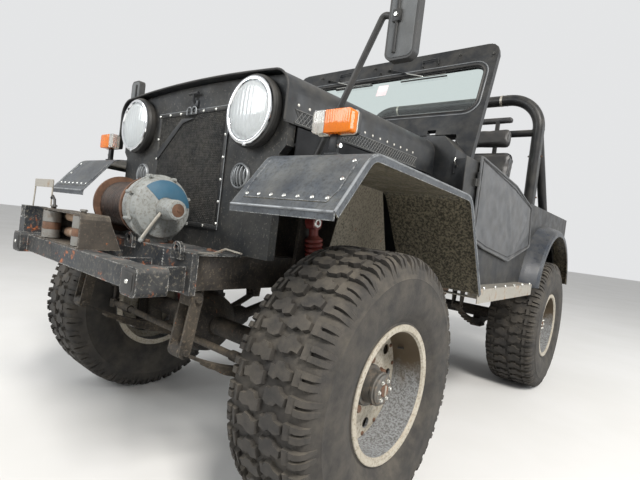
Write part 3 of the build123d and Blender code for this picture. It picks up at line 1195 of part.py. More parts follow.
def add_body():
    """Fenders, hood, tub, doors, windshield and roll bar."""
    add("front_fenders", both_sides(fender()))
    add("engine_bay_sides", both_sides(apron()) + both_sides(hood_side()))
    body_hood, body_cowl = hood(), cowl()
    for x in HOOD_HINGES:
        fixed, moving = hinge_x(
            x, HOOD_HINGE_Y, HOOD_HINGE_Z, 40,
            (HOOD_HINGE_Y, FIREWALL_Y + 40, COWL_TOP, COWL_TOP + 5),
            (HOOD_REAR - 40, HOOD_HINGE_Y, HOOD_TOP - 16, HOOD_TOP + 5))
        body_cowl = body_cowl + fixed
        body_hood = body_hood + moving
    frame = windshield_frame()
    bracket = [(COWL_REAR - 40, COWL_TOP), (COWL_REAR, COWL_TOP), (WIND_HINGE_Y + 4, WIND_HINGE_Z - 7),
               (WIND_HINGE_Y, WIND_HINGE_Z), (WIND_HINGE_Y - 8, WIND_HINGE_Z), (COWL_REAR + 8, COWL_TOP + 5),
               (COWL_REAR - 40, COWL_TOP + 5)]
    for x in WIND_HINGES:
        fixed, moving = hinge_x(
            x, WIND_HINGE_Y, WIND_HINGE_Z, 40,
            (WIND_HINGE_Y - 3, WIND_HINGE_Y + 3, WIND_HINGE_Z - 7, WIND_HINGE_Z),
            (WIND_HINGE_Y, WIND_HINGE_Y + 9, WIND_HINGE_Z, WIND_HINGE_Z + 30))
        body_cowl = body_cowl + fixed + side_plate(bracket, x - 40, x)
        frame = frame + moving
    add("hood", body_hood)
    add("cowl", body_cowl)
    add("windshield_frame", frame)
    pane = make_glass(GLASS_HALF - SEAT_GAP, GLASS_LOW + SEAT_GAP, GLASS_HIGH - SEAT_GAP, GLASS_THICK)
    add("windshield_glass", WIND_PLANE * pane)
    add("tub_floor", tub_floor())
    left_door, left_side = door(), body_side()
    for z in (960.0, 1160.0):
        low, top = z - 30, z
        barrel = rod((DOOR_HINGE_X, DOOR_HINGE_Y, low), (DOOR_HINGE_X, DOOR_HINGE_Y, top), BARREL)
        leaf_block = block(BODY_HALF, DOOR_HINGE_X, DOOR_HINGE_Y - 22, DOOR_HINGE_Y, low, top)
        pin = rod((DOOR_HINGE_X, DOOR_HINGE_Y, top - 1), (DOOR_HINGE_X, DOOR_HINGE_Y, top + 25), PIN)
        left_side = left_side + barrel + leaf_block + pin
        knuckle_up = rod((DOOR_HINGE_X, DOOR_HINGE_Y, top + SEAT_GAP), (DOOR_HINGE_X, DOOR_HINGE_Y, top + 30), BARREL)
        arm = block(DOOR_HINGE_X - 4, DOOR_HINGE_X + 4, DOOR_HINGE_Y, 700, top + SEAT_GAP, top + 30)
        bore = rod((DOOR_HINGE_X, DOOR_HINGE_Y, top - 1), (DOOR_HINGE_X, DOOR_HINGE_Y, top + 31), PIN + RUNNING_GAP)
        left_door = left_door + (knuckle_up + arm - bore)
    for side, shape in zip(("left", "right"), both_sides(left_door)):
        add(f"door_{side}", shape)
    add("body_sides", both_sides(left_side))
    back, gate = rear_panel(), tailgate()
    for x in GATE_HINGES:
        fixed, moving = hinge_x(
            x, GATE_HINGE_Y, GATE_HINGE_Z, 40,
            (REAR_FACE, GATE_HINGE_Y, GATE_HINGE_Z - 35, GATE_HINGE_Z),
            (REAR_FACE, GATE_HINGE_Y, GATE_HINGE_Z, GATE_HINGE_Z + 35))
        back = back + fixed
        gate = gate + moving
    add("rear_panel", back)
    add("tailgate", gate)
    add("rear_flares", both_sides(flare()))
    add("side_steps", both_sides(side_step()))
    add("rear_bumper", rear_bumper())
    add("roll_bar", roll_bar())
    add("seats", [seat(-350.0), seat(350.0)])


def save_all():
    """Write one file per piece, with the origin under the middle of the car."""
    os.makedirs("parts", exist_ok=True)
    for name, solids in pieces.items():
        placed = [Pos(0, -MIDDLE_Y, 0) * solid for solid in solids]
        shape = placed[0] if len(placed) == 1 else Compound(children=placed)
        export_step(shape, f"parts/{name}.step")


add_wheels()
add_running_gear()
add_frame()
add_front()
add_body()
save_all()
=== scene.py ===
# %% [markdown]
# An open utility car on flat fenders, finished as it stands after years outdoors: dull black paint, dust,
# chipped steel and big mud tyres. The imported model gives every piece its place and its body. This file gives
# each surface its finish, and makes the pieces that need softer or finer shapes than a solid model has.

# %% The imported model, and the sizes that the rest is worked out from
import math
import random
import json

import bmesh
import bpy
from mathutils import Matrix, Vector


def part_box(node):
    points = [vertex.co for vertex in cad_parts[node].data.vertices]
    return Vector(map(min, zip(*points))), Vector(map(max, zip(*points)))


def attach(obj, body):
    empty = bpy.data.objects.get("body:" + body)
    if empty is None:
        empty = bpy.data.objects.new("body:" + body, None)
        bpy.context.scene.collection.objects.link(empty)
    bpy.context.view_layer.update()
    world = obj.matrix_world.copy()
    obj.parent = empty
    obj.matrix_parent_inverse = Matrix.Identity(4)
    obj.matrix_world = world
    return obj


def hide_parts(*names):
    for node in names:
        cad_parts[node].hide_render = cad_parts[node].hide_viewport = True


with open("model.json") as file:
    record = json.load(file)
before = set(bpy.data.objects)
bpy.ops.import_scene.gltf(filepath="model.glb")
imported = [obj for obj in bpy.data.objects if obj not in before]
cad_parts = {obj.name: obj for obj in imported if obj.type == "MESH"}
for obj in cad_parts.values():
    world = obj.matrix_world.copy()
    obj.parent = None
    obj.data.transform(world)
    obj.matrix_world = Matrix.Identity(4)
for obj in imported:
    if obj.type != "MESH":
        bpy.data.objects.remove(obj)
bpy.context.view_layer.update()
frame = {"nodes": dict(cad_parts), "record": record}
random.seed(7)


def box_of(node_name):
    """Lowest corner, highest corner and middle of a node of the model."""
    low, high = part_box(node_name)
    return low, high, (low + high) / 2


def in_scene(name, data):
    """A new object that shows data, linked to the scene."""
    made = bpy.data.objects.new(name, data)
    bpy.context.scene.collection.objects.link(made)
    return made


def evaluated(thing):
    """What an object's modifiers make, as plain mesh data."""
    return bpy.data.meshes.new_from_object(thing.evaluated_get(bpy.context.evaluated_depsgraph_get()))


# %% [markdown]
# The photograph was taken from low down beside the left front wheel with a wide phone lens, held a little
# askew. The camera stands at the same place: 1.4 m to the car's left and 1.1 m ahead of its front axle, with
# its eye 0.87 m above the ground. Its turn, tilt and roll were found from straight edges of the car.

# %% Camera
IMAGE_WIDTH = 640
FOCAL_PIXELS = 423.3
AXLE_TO_MIDDLE = 1.0675          # the model's origin lies this far behind the front axle
EYE = Vector((1.3762, -1.1206 - AXLE_TO_MIDDLE, 0.8742))
TURN, TILT, ROLL = (math.radians(angle) for angle in (39.7, -1.6, 6.9))


def make_camera():
    """A level camera is turned about Z, tilted about its own X and rolled about its line of sight."""
    data = bpy.data.cameras.new("camera")
    data.sensor_width = 36.0
    data.lens = data.sensor_width * FOCAL_PIXELS / IMAGE_WIDTH
    data.clip_start = 0.05
    camera = in_scene("camera", data)
    turn = Matrix.Rotation(TURN, 4, "Z") @ Matrix.Rotation(math.pi / 2 + TILT, 4, "X")
    camera.matrix_world = Matrix.Translation(EYE) @ turn @ Matrix.Rotation(ROLL, 4, "Z")
    bpy.context.scene.camera = camera
    return camera


camera = make_camera()
print("camera lens", round(camera.data.lens, 2), "mm")

# %% [markdown]
# A studio for dark paint: black panels show only what they mirror, so the light comes from large soft boxes
# and a pale room, with one stronger box high on the left of the car as the sun was. The floor and the room
# are pale to the camera and in reflections, and the room gives less light than it shows.

# %% Light, room and floor, and the helper that adds nodes
ROOM_SHOWN = 0.86
ROOM_LIGHT = 0.62
SOFT_BOXES = [
    # name, place, aimed at, width, height, power in watts
    ("sun_box", (4.2, -3.2, 5.4), (0.0, -0.4, 0.7), 1.8, 1.8, 520.0),
    ("front_box", (-2.6, -5.2, 3.2), (0.0, -1.2, 0.8), 3.0, 2.0, 130.0),
    ("side_box", (5.5, 2.6, 2.6), (0.4, 0.6, 0.7), 3.0, 2.0, 130.0),
]


def linear(hex_colour, alpha=1.0):
    """A colour written as sRGB hex, as the linear values that a shader takes."""
    parts = [int(hex_colour[i:i + 2], 16) / 255 for i in (1, 3, 5)]
    return tuple(c / 12.92 if c <= 0.04045 else ((c + 0.055) / 1.055) ** 2.4 for c in parts) + (alpha,)


def add_node(tree, kind, values=None, **settings):
    """Add a node; values gives sockets by name or number, each a plain value or another node's output."""
    known = kind.startswith(("ShaderNode", "GeometryNode", "FunctionNode", "NodeGroup"))
    made = tree.nodes.new(kind if known else "ShaderNode" + kind)
    for key, value in settings.items():
        setattr(made, key, value)
    for key, value in (values or {}).items():
        if isinstance(value, bpy.types.NodeSocket):
            tree.links.new(value, made.inputs[key])
        else:
            made.inputs[key].default_value = value
    return made


def make_studio():
    """World, area lamps and floor; only the floor is a mesh."""
    world = bpy.data.worlds.new("room")
    bpy.context.scene.world = world
    world.use_nodes = True
    tree = world.node_tree
    background = tree.nodes["Background"]
    background.inputs["Color"].default_value = linear("#f4f5f6")
    path = add_node(tree, "LightPath").outputs
    seen = add_node(tree, "Math", {0: path["Is Camera Ray"], 1: path["Is Transmission Ray"]},
                    operation="MAXIMUM")
    shown = add_node(tree, "Math", {0: seen.outputs[0], 1: path["Is Glossy Ray"]}, operation="MAXIMUM")
    strength = add_node(tree, "MapRange", {"Value": shown.outputs[0], "To Min": ROOM_LIGHT,
                                           "To Max": ROOM_SHOWN})
    tree.links.new(strength.outputs["Result"], background.inputs["Strength"])
    for name, place, aim, width, height, power in SOFT_BOXES:
        lamp = bpy.data.lights.new(name, "AREA")
        lamp.shape = "RECTANGLE"
        lamp.size, lamp.size_y = width, height
        lamp.energy = power
        lamp.color = (1.0, 0.97, 0.93) if name == "sun_box" else (0.95, 0.98, 1.0)
        holder = in_scene(name, lamp)
        holder.location = place
        holder.rotation_euler = (Vector(aim) - Vector(place)).to_track_quat("-Z", "Y").to_euler()
    floor_mesh = bpy.data.meshes.new("studio_floor")
    reach = 30.0
    corners = [(-reach, -reach, 0), (reach, -reach, 0), (reach, reach, 0), (-reach, reach, 0)]
    floor_mesh.from_pydata(corners, [], [(0, 1, 2, 3)])
    floor = in_scene("studio_floor", floor_mesh)
    return floor


bpy.context.scene.view_settings.view_transform = "Standard"
floor = make_studio()
print("lamps", len(SOFT_BOXES))

# %% [markdown]
# Every finish is a small tree of nodes, built with the same helper as the room's. The functions below each
# add one layer, so that a finish reads as a short recipe: what the surface is, what lies on it, and how rough
# it has become.

# %% Helpers for finishes
def new_finish(name):
    """An empty material with its shader, and a Texture Coordinate node to start patterns from."""
    material = bpy.data.materials.new(name)
    material.use_nodes = True
    tree = material.node_tree
    shader = tree.nodes["Principled BSDF"]
    spot = add_node(tree, "TexCoord")
    return material, tree, shader, spot


def blotches(tree, spot, size_mm, low, high, detail=4.0, rough=0.6):
    """A soft mask of irregular patches about size_mm wide, from 0 below low to 1 above high."""
    noise = add_node(tree, "TexNoise", {"Vector": spot.outputs["Object"], "Scale": 1000.0 / size_mm,
                                        "Detail": detail, "Roughness": rough})
    mask = add_node(tree, "MapRange", {"Value": noise.outputs["Fac"], "From Min": low, "From Max": high},
                    interpolation_type="SMOOTHSTEP")
    return mask.outputs["Result"]


def mix_colour(tree, mask, below, above):
    """One colour over another by a mask; each is a hex colour or another node's output."""
    made = add_node(tree, "Mix", {}, data_type="RGBA")
    for number, value in ((0, mask), (6, below), (7, above)):
        if isinstance(value, str):
            value = linear(value)
        if isinstance(value, bpy.types.NodeSocket):
            tree.links.new(value, made.inputs[number])
        else:
            made.inputs[number].default_value = value
    return made.outputs[2]


def dust_mask(tree, spot, amount):
    """Dust lies where a surface faces up, in uneven drifts; amount is 0 to 1."""
    up = add_node(tree, "SeparateXYZ", {0: spot.outputs["Normal"]})
    facing = add_node(tree, "MapRange", {"Value": up.outputs["Z"], "From Min": -0.2, "From Max": 1.0,
                                         "To Min": 0.25 * amount, "To Max": amount})
    drift = blotches(tree, spot, 90.0, 0.3, 0.75, detail=8.0, rough=0.7)
    return add_node(tree, "Math", {0: facing.outputs[0], 1: drift}, operation="MULTIPLY").outputs[0]


def edge_mask(tree, radius_mm, low=0.02, high=0.25):
    """1 where two faces meet at a corner, within the radius: where paint wears through first."""
    bevel = add_node(tree, "Bevel", {"Radius": radius_mm / 1000}, samples=4)
    true_normal = add_node(tree, "NewGeometry")
    dot = add_node(tree, "VectorMath", {0: bevel.outputs[0], 1: true_normal.outputs["Normal"]},
                   operation="DOT_PRODUCT")
    turned = add_node(tree, "Math", {0: 1.0, 1: dot.outputs["Value"]}, operation="SUBTRACT")
    return add_node(tree, "MapRange", {"Value": turned.outputs[0], "From Min": low,
                                       "From Max": high}).outputs[0]


def bump(tree, shader, height, millimetres, strength=1.0):
    """Relief that is millimetres high, from a height between 0 and 1."""
    made = add_node(tree, "Bump", {"Height": height, "Distance": millimetres / 1000, "Strength": strength})
    tree.links.new(made.outputs["Normal"], shader.inputs["Normal"])
    return made

# %% [markdown]
# Old paint on steel is never one colour. Under the dust the enamel is dark and still half glossy; sun has
# chalked it in patches, sand has roughened it, and at corners it has worn to primer and bare metal. One
# recipe with named amounts serves all the painted parts, because they differ only in those amounts.

# %% Painted steel
def painted_steel(name, paint, chalk, dust="#8f897c", dust_amount=0.3, wear=0.25, wear_colour="#8a8984",
                  rust=0.0, rough=0.42, speck=0.0, speck_colour="#5c564a", grain_mm=3.0):
    """Sprayed enamel: patches of chalked colour, rust blisters, specks of dirt, worn corners and dust."""
    material, tree, shader, spot = new_finish(name)
    colour = mix_colour(tree, blotches(tree, spot, 220.0, 0.35, 0.7), paint, chalk)
    if speck:
        dirt = blotches(tree, spot, 9.0, 0.62 - 0.12 * speck, 0.7, detail=6.0, rough=0.75)
        colour = mix_colour(tree, dirt, colour, speck_colour)
    if rust:
        blister = blotches(tree, spot, 55.0, 0.66 - 0.12 * rust, 0.7 - 0.08 * rust, detail=9.0, rough=0.72)
        shade = mix_colour(tree, blotches(tree, spot, 8.0, 0.35, 0.65), "#5a3322", "#b4683a")
        colour = mix_colour(tree, blister, colour, shade)
    if wear:
        broken = blotches(tree, spot, 14.0, 0.4, 0.62, detail=7.0, rough=0.7)
        edge = add_node(tree, "Math", {0: edge_mask(tree, 5.0), 1: broken}, operation="MULTIPLY")
        worn = add_node(tree, "Math", {0: edge.outputs[0], 1: wear}, operation="MULTIPLY", use_clamp=True)
        colour = mix_colour(tree, worn.outputs[0], colour, wear_colour)
    lying = dust_mask(tree, spot, dust_amount)
    colour = mix_colour(tree, lying, colour, dust)
    tree.links.new(colour, shader.inputs["Base Color"])
    smear = blotches(tree, spot, 60.0, 0.2, 0.8, detail=8.0)
    roughness = add_node(tree, "MapRange", {"Value": smear, "To Min": rough - 0.1, "To Max": rough + 0.16})
    dulled = add_node(tree, "Math", {0: roughness.outputs[0], 1: lying}, operation="ADD", use_clamp=True)
    tree.links.new(dulled.outputs[0], shader.inputs["Roughness"])
    orange_peel = add_node(tree, "TexNoise", {"Vector": spot.outputs["Object"], "Scale": 1000.0 / grain_mm,
                                              "Detail": 3.0})
    bump(tree, shader, orange_peel.outputs["Fac"], 0.25, 0.5)
    shader.inputs["IOR"].default_value = 1.5
    shader.inputs["Specular IOR Level"].default_value = 0.3     # grime takes the mirror off old enamel
    return material


finishes = {
    "black_enamel": painted_steel("sprayed_black_enamel", "#17191c", "#25282c", dust_amount=0.22, rough=0.36),
    "panel_black": painted_steel("textured_black_panel_paint", "#17191c", "#232629", dust_amount=0.3,
                                 rough=0.5, speck=0.5, speck_colour="#6b675f", grain_mm=1.6),
    "fender_grey": painted_steel("worn_blue_grey_fender_enamel", "#31353b", "#4d5258", dust="#86857e",
                                 dust_amount=0.42, wear=0.9, wear_colour="#b9bbb9", speck=1.5,
                                 speck_colour="#23262a", rough=0.36),
    "apron_grey": painted_steel("speckled_grey_underbody_paint", "#8c8678", "#a39c8c", dust="#a79f8e",
                                dust_amount=0.35, speck=1.6, speck_colour="#4b443a", rust=0.25, rough=0.72,
                                wear=0.0, grain_mm=5.0),
    "tub_black": painted_steel("black_tub_enamel", "#191b1e", "#242629", dust_amount=0.38, rough=0.34),
    "flare_navy": painted_steel("glossy_navy_flare_coat", "#1b2028", "#232a34", dust_amount=0.25, wear=0.1,
                                rough=0.24),
    "hoop_black": painted_steel("black_tube_enamel", "#17181a", "#222326", dust_amount=0.3, rough=0.34),
    "chassis_black": painted_steel("dusty_chassis_black", "#1a1a1b", "#2c2a28", dust="#7d7264",
                                   dust_amount=0.6, speck=0.9, speck_colour="#584f43", rough=0.6, rust=0.15),
    "bumper_black": painted_steel("chipped_bumper_paint", "#16191d", "#2b3036", dust="#8c8a84",
                                  dust_amount=0.4, wear=1.0, wear_colour="#c0bfba", rust=0.85, speck=0.9,
                                  speck_colour="#6d675c", rough=0.36),
    "fairlead_black": painted_steel("worn_fairlead_paint", "#2a2725", "#3d3935", dust="#8a8071",
                                    dust_amount=0.5, wear=0.8, wear_colour="#9a948a", rust=0.35, speck=0.8,
                                    speck_colour="#5d5145", rough=0.5),
    "winch_grey": painted_steel("light_grey_winch_paint", "#868a89", "#9fa2a0", dust="#857f72",
                                dust_amount=0.35, wear=0.7, wear_colour="#5d574e", speck=1.3,
                                speck_colour="#5f5a53", rough=0.4),
    "wheel_beige": painted_steel("sandy_beige_wheel_paint", "#a49e91", "#b4aea1", dust="#978c79",
                                 dust_amount=0.5, wear=0.8, wear_colour="#7b7468", speck=1.4,
                                 speck_colour="#6f6656", rough=0.6),
    "spring_black": painted_steel("dusty_black_spring_steel", "#242322", "#3a3631", dust="#8b7f6e",
                                  dust_amount=0.6, rust=0.3, speck=0.9, speck_colour="#6b5f50", rough=0.66),
    "exhaust_brown": painted_steel("heat_browned_exhaust_steel", "#4a3d35", "#6d5a4a", dust_amount=0.4,
                                   rust=0.9, rough=0.6),
}

# %% [markdown]
# Four finishes carry something over their paint, and each follows a rule of place: the aprons are dark above
# the height that the hood shades, partly a black side and partly painted shade of the hood, sheets that look
# down are covered in thrown mud, and inside a rim grit lies below and dark brown above, partly brake dust
# and partly painted shade. Each mask is read from the surface itself, its height or the way it faces, so
# that it holds in every view.

# %% Shade, mud and brake dust over the paint
def axes_of(finish, source):
    """A finish's tree, its texture coordinates, and the X, Y and Z of its Object or Normal coordinates."""
    tree = finish.node_tree
    spot = next(node for node in tree.nodes if node.bl_idname == "ShaderNodeTexCoord")
    return tree, spot, add_node(tree, "SeparateXYZ", {0: spot.outputs[source]})


def cover(tree, value, start, end, colour):
    """Lay a colour over a finish's own one, from none at start to all at end of a value."""
    wanted = tree.nodes["Principled BSDF"].inputs["Base Color"]
    mask = add_node(tree, "MapRange", {"Value": value, "From Min": start, "From Max": end})
    tree.links.new(mix_colour(tree, mask.outputs[0], wanted.links[0].from_socket, colour), wanted)


def darken_above(finish, height, colour):
    """Dark colour above a height in metres: a black side, and painted shade under the hood."""
    tree, _, place = axes_of(finish, "Object")
    cover(tree, place.outputs["Z"], height, height + 0.004, colour)


def muddy_below(finish, shades, size_mm=26.0):
    """Thrown mud and undercoat, in two shades, on the faces of a sheet that look down."""
    tree, spot, way = axes_of(finish, "Normal")
    mud = mix_colour(tree, blotches(tree, spot, size_mm, 0.4, 0.62, detail=9.0, rough=0.7), *shades)
    cover(tree, way.outputs["Z"], -0.08, -0.2, mud)


def barrel_dust_and_shade(finish):
    """Inside a rim the faces towards the axle are speckled grey below, and dark brown above from brake dust
    and painted shade.
    """
    tree, spot, place = axes_of(finish, "Object")
    grit = mix_colour(tree, blotches(tree, spot, 6.0, 0.42, 0.6, detail=6.0), "#8b8d8e", "#62615f")
    drift = add_node(tree, "Math", {0: blotches(tree, spot, 50.0, 0.2, 0.8), 1: 0.08, 2: place.outputs["Z"]},
                     operation="MULTIPLY_ADD")
    high = add_node(tree, "MapRange", {"Value": drift.outputs[0], "From Min": 0.42, "From Max": 0.52})
    # The dark brown above is brake dust and painted shade, where the barrel's upper inside faces down.
    barrel = mix_colour(tree, high.outputs[0], grit, "#574c3d")
    way = axes_of(finish, "Normal")[2]
    flat = add_node(tree, "Math", {0: way.outputs["X"]}, operation="ABSOLUTE")
    cover(tree, flat.outputs[0], 0.35, 0.15, barrel)


# Painted shade of the hood over the aprons, together with their black side.
darken_above(finishes["apron_grey"], 1.05, "#1c1d1f")
muddy_below(finishes["fender_grey"], ("#34322c", "#7b7462"), size_mm=9.0)
muddy_below(finishes["flare_navy"], ("#2b2925", "#746b5a"), size_mm=12.0)
# Inside the rims: grit below, and brake dust with painted shade above.
barrel_dust_and_shade(finishes["wheel_beige"])
print("painted finishes", len(finishes))

# %% [markdown]
# Bare metals come next. Cast and forged pieces of the winch have rusted evenly brown, the step is dull
# aluminium with a few rust runs from its bolts, the screws are bright zinc, and the lamp rings are chrome.
# A metal's colour is its reflection, so only roughness and stains tell these apart.

# %% Bare metals
def bare_metal(name, colour, stain, stain_amount=0.5, rough=0.4, metallic=1.0, size_mm=30.0, relief_mm=0.15):
    """Metal with stains that are rougher and less metallic than the metal itself."""
    material, tree, shader, spot = new_finish(name)
    stained = blotches(tree, spot, size_mm, 0.62 - 0.3 * stain_amount, 0.75, detail=9.0, rough=0.7)
    tree.links.new(mix_colour(tree, stained, colour, stain), shader.inputs["Base Color"])
    roughness = add_node(tree, "MapRange", {"Value": stained, "To Min": rough,
                                            "To Max": min(1.0, rough + 0.35)})
    tree.links.new(roughness.outputs[0], shader.inputs["Roughness"])
    metal = add_node(tree, "MapRange", {"Value": stained, "To Min": metallic, "To Max": metallic * 0.4})
    tree.links.new(metal.outputs[0], shader.inputs["Metallic"])
    pits = add_node(tree, "TexNoise", {"Vector": spot.outputs["Object"], "Scale": 300.0, "Detail": 6.0})
    bump(tree, shader, pits.outputs["Fac"], relief_mm)
    return material


finishes.update({
    "rusty_iron": bare_metal("rust_brown_iron", "#5d4638", "#7a5a46", 0.9, rough=0.6, metallic=0.35),
    "hub_iron": bare_metal("dusty_dark_hub_iron", "#5c5a56", "#7d7061", 0.6, rough=0.5, metallic=0.5,
                           size_mm=14.0),
    "roller_steel": bare_metal("worn_roller_steel", "#83827e", "#6b6158", 0.55, rough=0.45, metallic=0.5),
    "roller_beige": bare_metal("rusty_beige_roller_steel", "#b89f88", "#9c6d4c", 0.6, rough=0.55,
                               metallic=0.3),
    "step_aluminium": bare_metal("weathered_step_aluminium", "#b4afa4", "#8a6d50", 0.45, rough=0.4,
                                 metallic=0.75, size_mm=45.0),
    "bright_zinc": bare_metal("bright_zinc_screws", "#d7d7d2", "#8f8a80", 0.4, rough=0.28, size_mm=12.0),
    "chrome": bare_metal("chromed_lamp_ring", "#e8eaec", "#b5b2aa", 0.12, rough=0.08, size_mm=20.0,
                         relief_mm=0.02),
    "lamp_bowl": bare_metal("silvered_lamp_bowl", "#e6eaec", "#cfd3d4", 0.2, rough=0.22, metallic=0.45,
                            relief_mm=0.0),
    "mirror_silver": bare_metal("silvered_glass", "#dfe3e4", "#b9bbb8", 0.1, rough=0.04, relief_mm=0.0),
    "fender_lip": bare_metal("scuffed_silver_lip", "#8f9294", "#3a3d41", 0.65, rough=0.45, metallic=0.7,
                             size_mm=50.0),
})

# %% [markdown]
# Rubber and plastic scatter light just under the surface and go grey with age. Tyre rubber is almost black
# where stones have cut it and beige where dust has stayed; the mud between the lugs is the palest. Vinyl of
# the half doors has a fine printed grain, here drawn 2 mm wide so that it shows.

# %% Rubber, plastic, vinyl and lamps
def moulded(name, colour, worn, rough=0.6, size_mm=60.0, grain_mm=2.0, relief_mm=0.2, dust_amount=0.25,
            dust="#8f877a"):
    """Moulded rubber, vinyl or plastic with a grain, faded patches and dust."""
    material, tree, shader, spot = new_finish(name)
    shade = mix_colour(tree, blotches(tree, spot, size_mm, 0.3, 0.75, detail=7.0), colour, worn)
    lying = dust_mask(tree, spot, dust_amount)
    tree.links.new(mix_colour(tree, lying, shade, dust), shader.inputs["Base Color"])
    dulled = add_node(tree, "MapRange", {"Value": lying, "To Min": rough, "To Max": 0.95})
    tree.links.new(dulled.outputs[0], shader.inputs["Roughness"])
    grain = add_node(tree, "TexVoronoi", {"Vector": spot.outputs["Object"], "Scale": 1000.0 / grain_mm})
    bump(tree, shader, grain.outputs["Distance"], relief_mm, 0.6)
    shader.inputs["IOR"].default_value = 1.5
    return material


def clear_part(name, colour, rough=0.02, transmission=1.0, ior=1.5, bump_mm=0.0, rib_mm=8.0):
    """Glass or a lamp lens: light goes through, and pressed ribs break it up."""
    material, tree, shader, spot = new_finish(name)
    shader.inputs["Base Color"].default_value = linear(colour)
    shader.inputs["Roughness"].default_value = rough
    shader.inputs["Transmission Weight"].default_value = transmission
    shader.inputs["IOR"].default_value = ior
    if bump_mm:
        rib = add_node(tree, "TexWave", {"Vector": spot.outputs["Object"], "Scale": 1000.0 / rib_mm / 6.283},
                       wave_type="BANDS", bands_direction="X")
        bump(tree, shader, rib.outputs["Fac"], bump_mm)
    return material


finishes.update({
    "tyre_rubber": moulded("dusty_tyre_rubber", "#232221", "#35322f", rough=0.82, size_mm=35.0, grain_mm=3.0,
                           relief_mm=0.5, dust_amount=0.42, dust="#837a6b"),
    "black_rubber": moulded("black_seal_rubber", "#1a1a1b", "#2b2b2c", rough=0.55),
    "red_rubber": moulded("red_boot_rubber", "#5f1a17", "#7a2a22", rough=0.5, dust_amount=0.3,
                          dust="#7b6a5c"),
    "door_vinyl": moulded("dark_grey_door_vinyl", "#3b3d3f", "#515356", rough=0.42, grain_mm=2.0,
                          relief_mm=0.15, dust_amount=0.3),
    "seat_vinyl": moulded("black_seat_vinyl", "#1f1f21", "#2c2c2e", rough=0.42, grain_mm=2.0, relief_mm=0.12,
                          dust_amount=0.25),
    "black_plastic": moulded("black_moulded_plastic", "#18191a", "#252627", rough=0.48, grain_mm=1.5,
                             relief_mm=0.06),
    "rope": moulded("dark_greased_rope", "#201714", "#3b2b23", rough=0.6, size_mm=20.0, grain_mm=3.0,
                    relief_mm=0.5, dust_amount=0.15),
    "window_glass": clear_part("clear_window_glass", "#e3efec", rough=0.01),
    "lamp_glass": clear_part("fluted_lamp_glass", "#f2f6f7", rough=0.05, transmission=0.6, bump_mm=0.4,
                             rib_mm=9.0),
    "clear_lens": clear_part("clear_moulded_lens", "#f1f1ee", rough=0.08, transmission=0.75, bump_mm=0.3,
                             rib_mm=4.0),
    "amber_lens": clear_part("amber_moulded_lens", "#ff8a12", rough=0.1, transmission=0.45, bump_mm=0.3,
                             rib_mm=4.0),
    "red_lens": clear_part("red_moulded_lens", "#b3121a", rough=0.1, transmission=0.45, bump_mm=0.3,
                           rib_mm=4.0),
    "smoked_lens": clear_part("smoked_marker_lens", "#3b3a38", rough=0.15, transmission=0.3, bump_mm=0.3,
                              rib_mm=5.0),
    "mirror_back": moulded("textured_grey_mirror_back", "#4b4e50", "#5c5f61", rough=0.6, grain_mm=3.0,
                           relief_mm=0.4),
    "vent_grey": moulded("grey_vent_strip", "#4d4f4f", "#626362", rough=0.55, grain_mm=2.0, relief_mm=0.1),
    "windshield_bead": moulded("grey_seal_bead", "#5a5d60", "#74777a", rough=0.45, grain_mm=3.0,
                               relief_mm=0.1),
    "pale_rivet": moulded("pale_rivet_heads", "#cfcdc6", "#b9b6ad", rough=0.45, grain_mm=2.0, relief_mm=0.05),
    "pale_label": moulded("blank_pale_label", "#d8c7c9", "#e4dadb", rough=0.4, dust_amount=0.1),
    "blue_label": moulded("blank_blue_label", "#2f566d", "#3b6278", rough=0.4, dust_amount=0.2),
})
print("finishes", len(finishes))

# %% [markdown]
# The studio floor is plain and pale. It keeps the car's shadow, and far from the car it fades into the room.

# %% Floor finish
def floor_finish():
    """A pale matt floor, a little warm."""
    material, tree, shader, spot = new_finish("pale_studio_floor")
    shade = mix_colour(tree, blotches(tree, spot, 900.0, 0.3, 0.7), "#d9d8d5", "#dedddb")
    tree.links.new(shade, shader.inputs["Base Color"])
    shader.inputs["Roughness"].default_value = 0.9
    return material


floor.data.materials.append(floor_finish())

# %% Which finish each solid of the model takes
SOLID_FINISHES = {                # every other node of the model takes the dusty black of the chassis
    "black_enamel": "hood cowl windshield_frame",
    "tub_black": "body_sides rear_panel tailgate tub_floor",
    "panel_black": "radiator_grille",
    "fender_grey": "front_fenders",
    "flare_navy": "rear_flares",
    "apron_grey": "engine_bay_sides",
    "hoop_black": "roll_bar",
    "spring_black": "leaf_springs tie_rod",
    "bumper_black": "front_bumper rear_bumper receiver_clamp",
    "fairlead_black": "fairlead",
    "winch_grey": "winch_housing",
    "rusty_iron": "winch_drum",
    "black_plastic": "headlamp_buckets mirrors steering_wheel steering_column",
    "red_rubber": "shock_absorbers",
    "step_aluminium": "side_steps",
    "exhaust_brown": "exhaust",
    "window_glass": "windshield_glass",
    "wheel_beige": "wheel_front_left wheel_front_right wheel_rear_left wheel_rear_right",
}
FINISH_OF = {node: finish for finish, nodes in SOLID_FINISHES.items() for node in nodes.split()}


def dress_solids():
    """Give each node of the model its finish, in place of the plain one that it came with."""
    for node_name, solid in frame["nodes"].items():
        solid.data.materials.clear()
        solid.data.materials.append(finishes[FINISH_OF.get(node_name, "chassis_black")])
        solid.data.shade_smooth()
        solid.data.set_sharp_from_angle(angle=math.radians(32))
    return len(frame["nodes"])


print("solids dressed", dress_solids())

# %% [markdown]
# The pieces below are made from a few plain forms: something turned like a bowl, something cut from plate,
# something bent from tube. One small class gathers such forms into a single closed mesh, and keeps a finish
# for each. Places are written in millimetres from the front axle, ahead of or behind it, as on the real car.

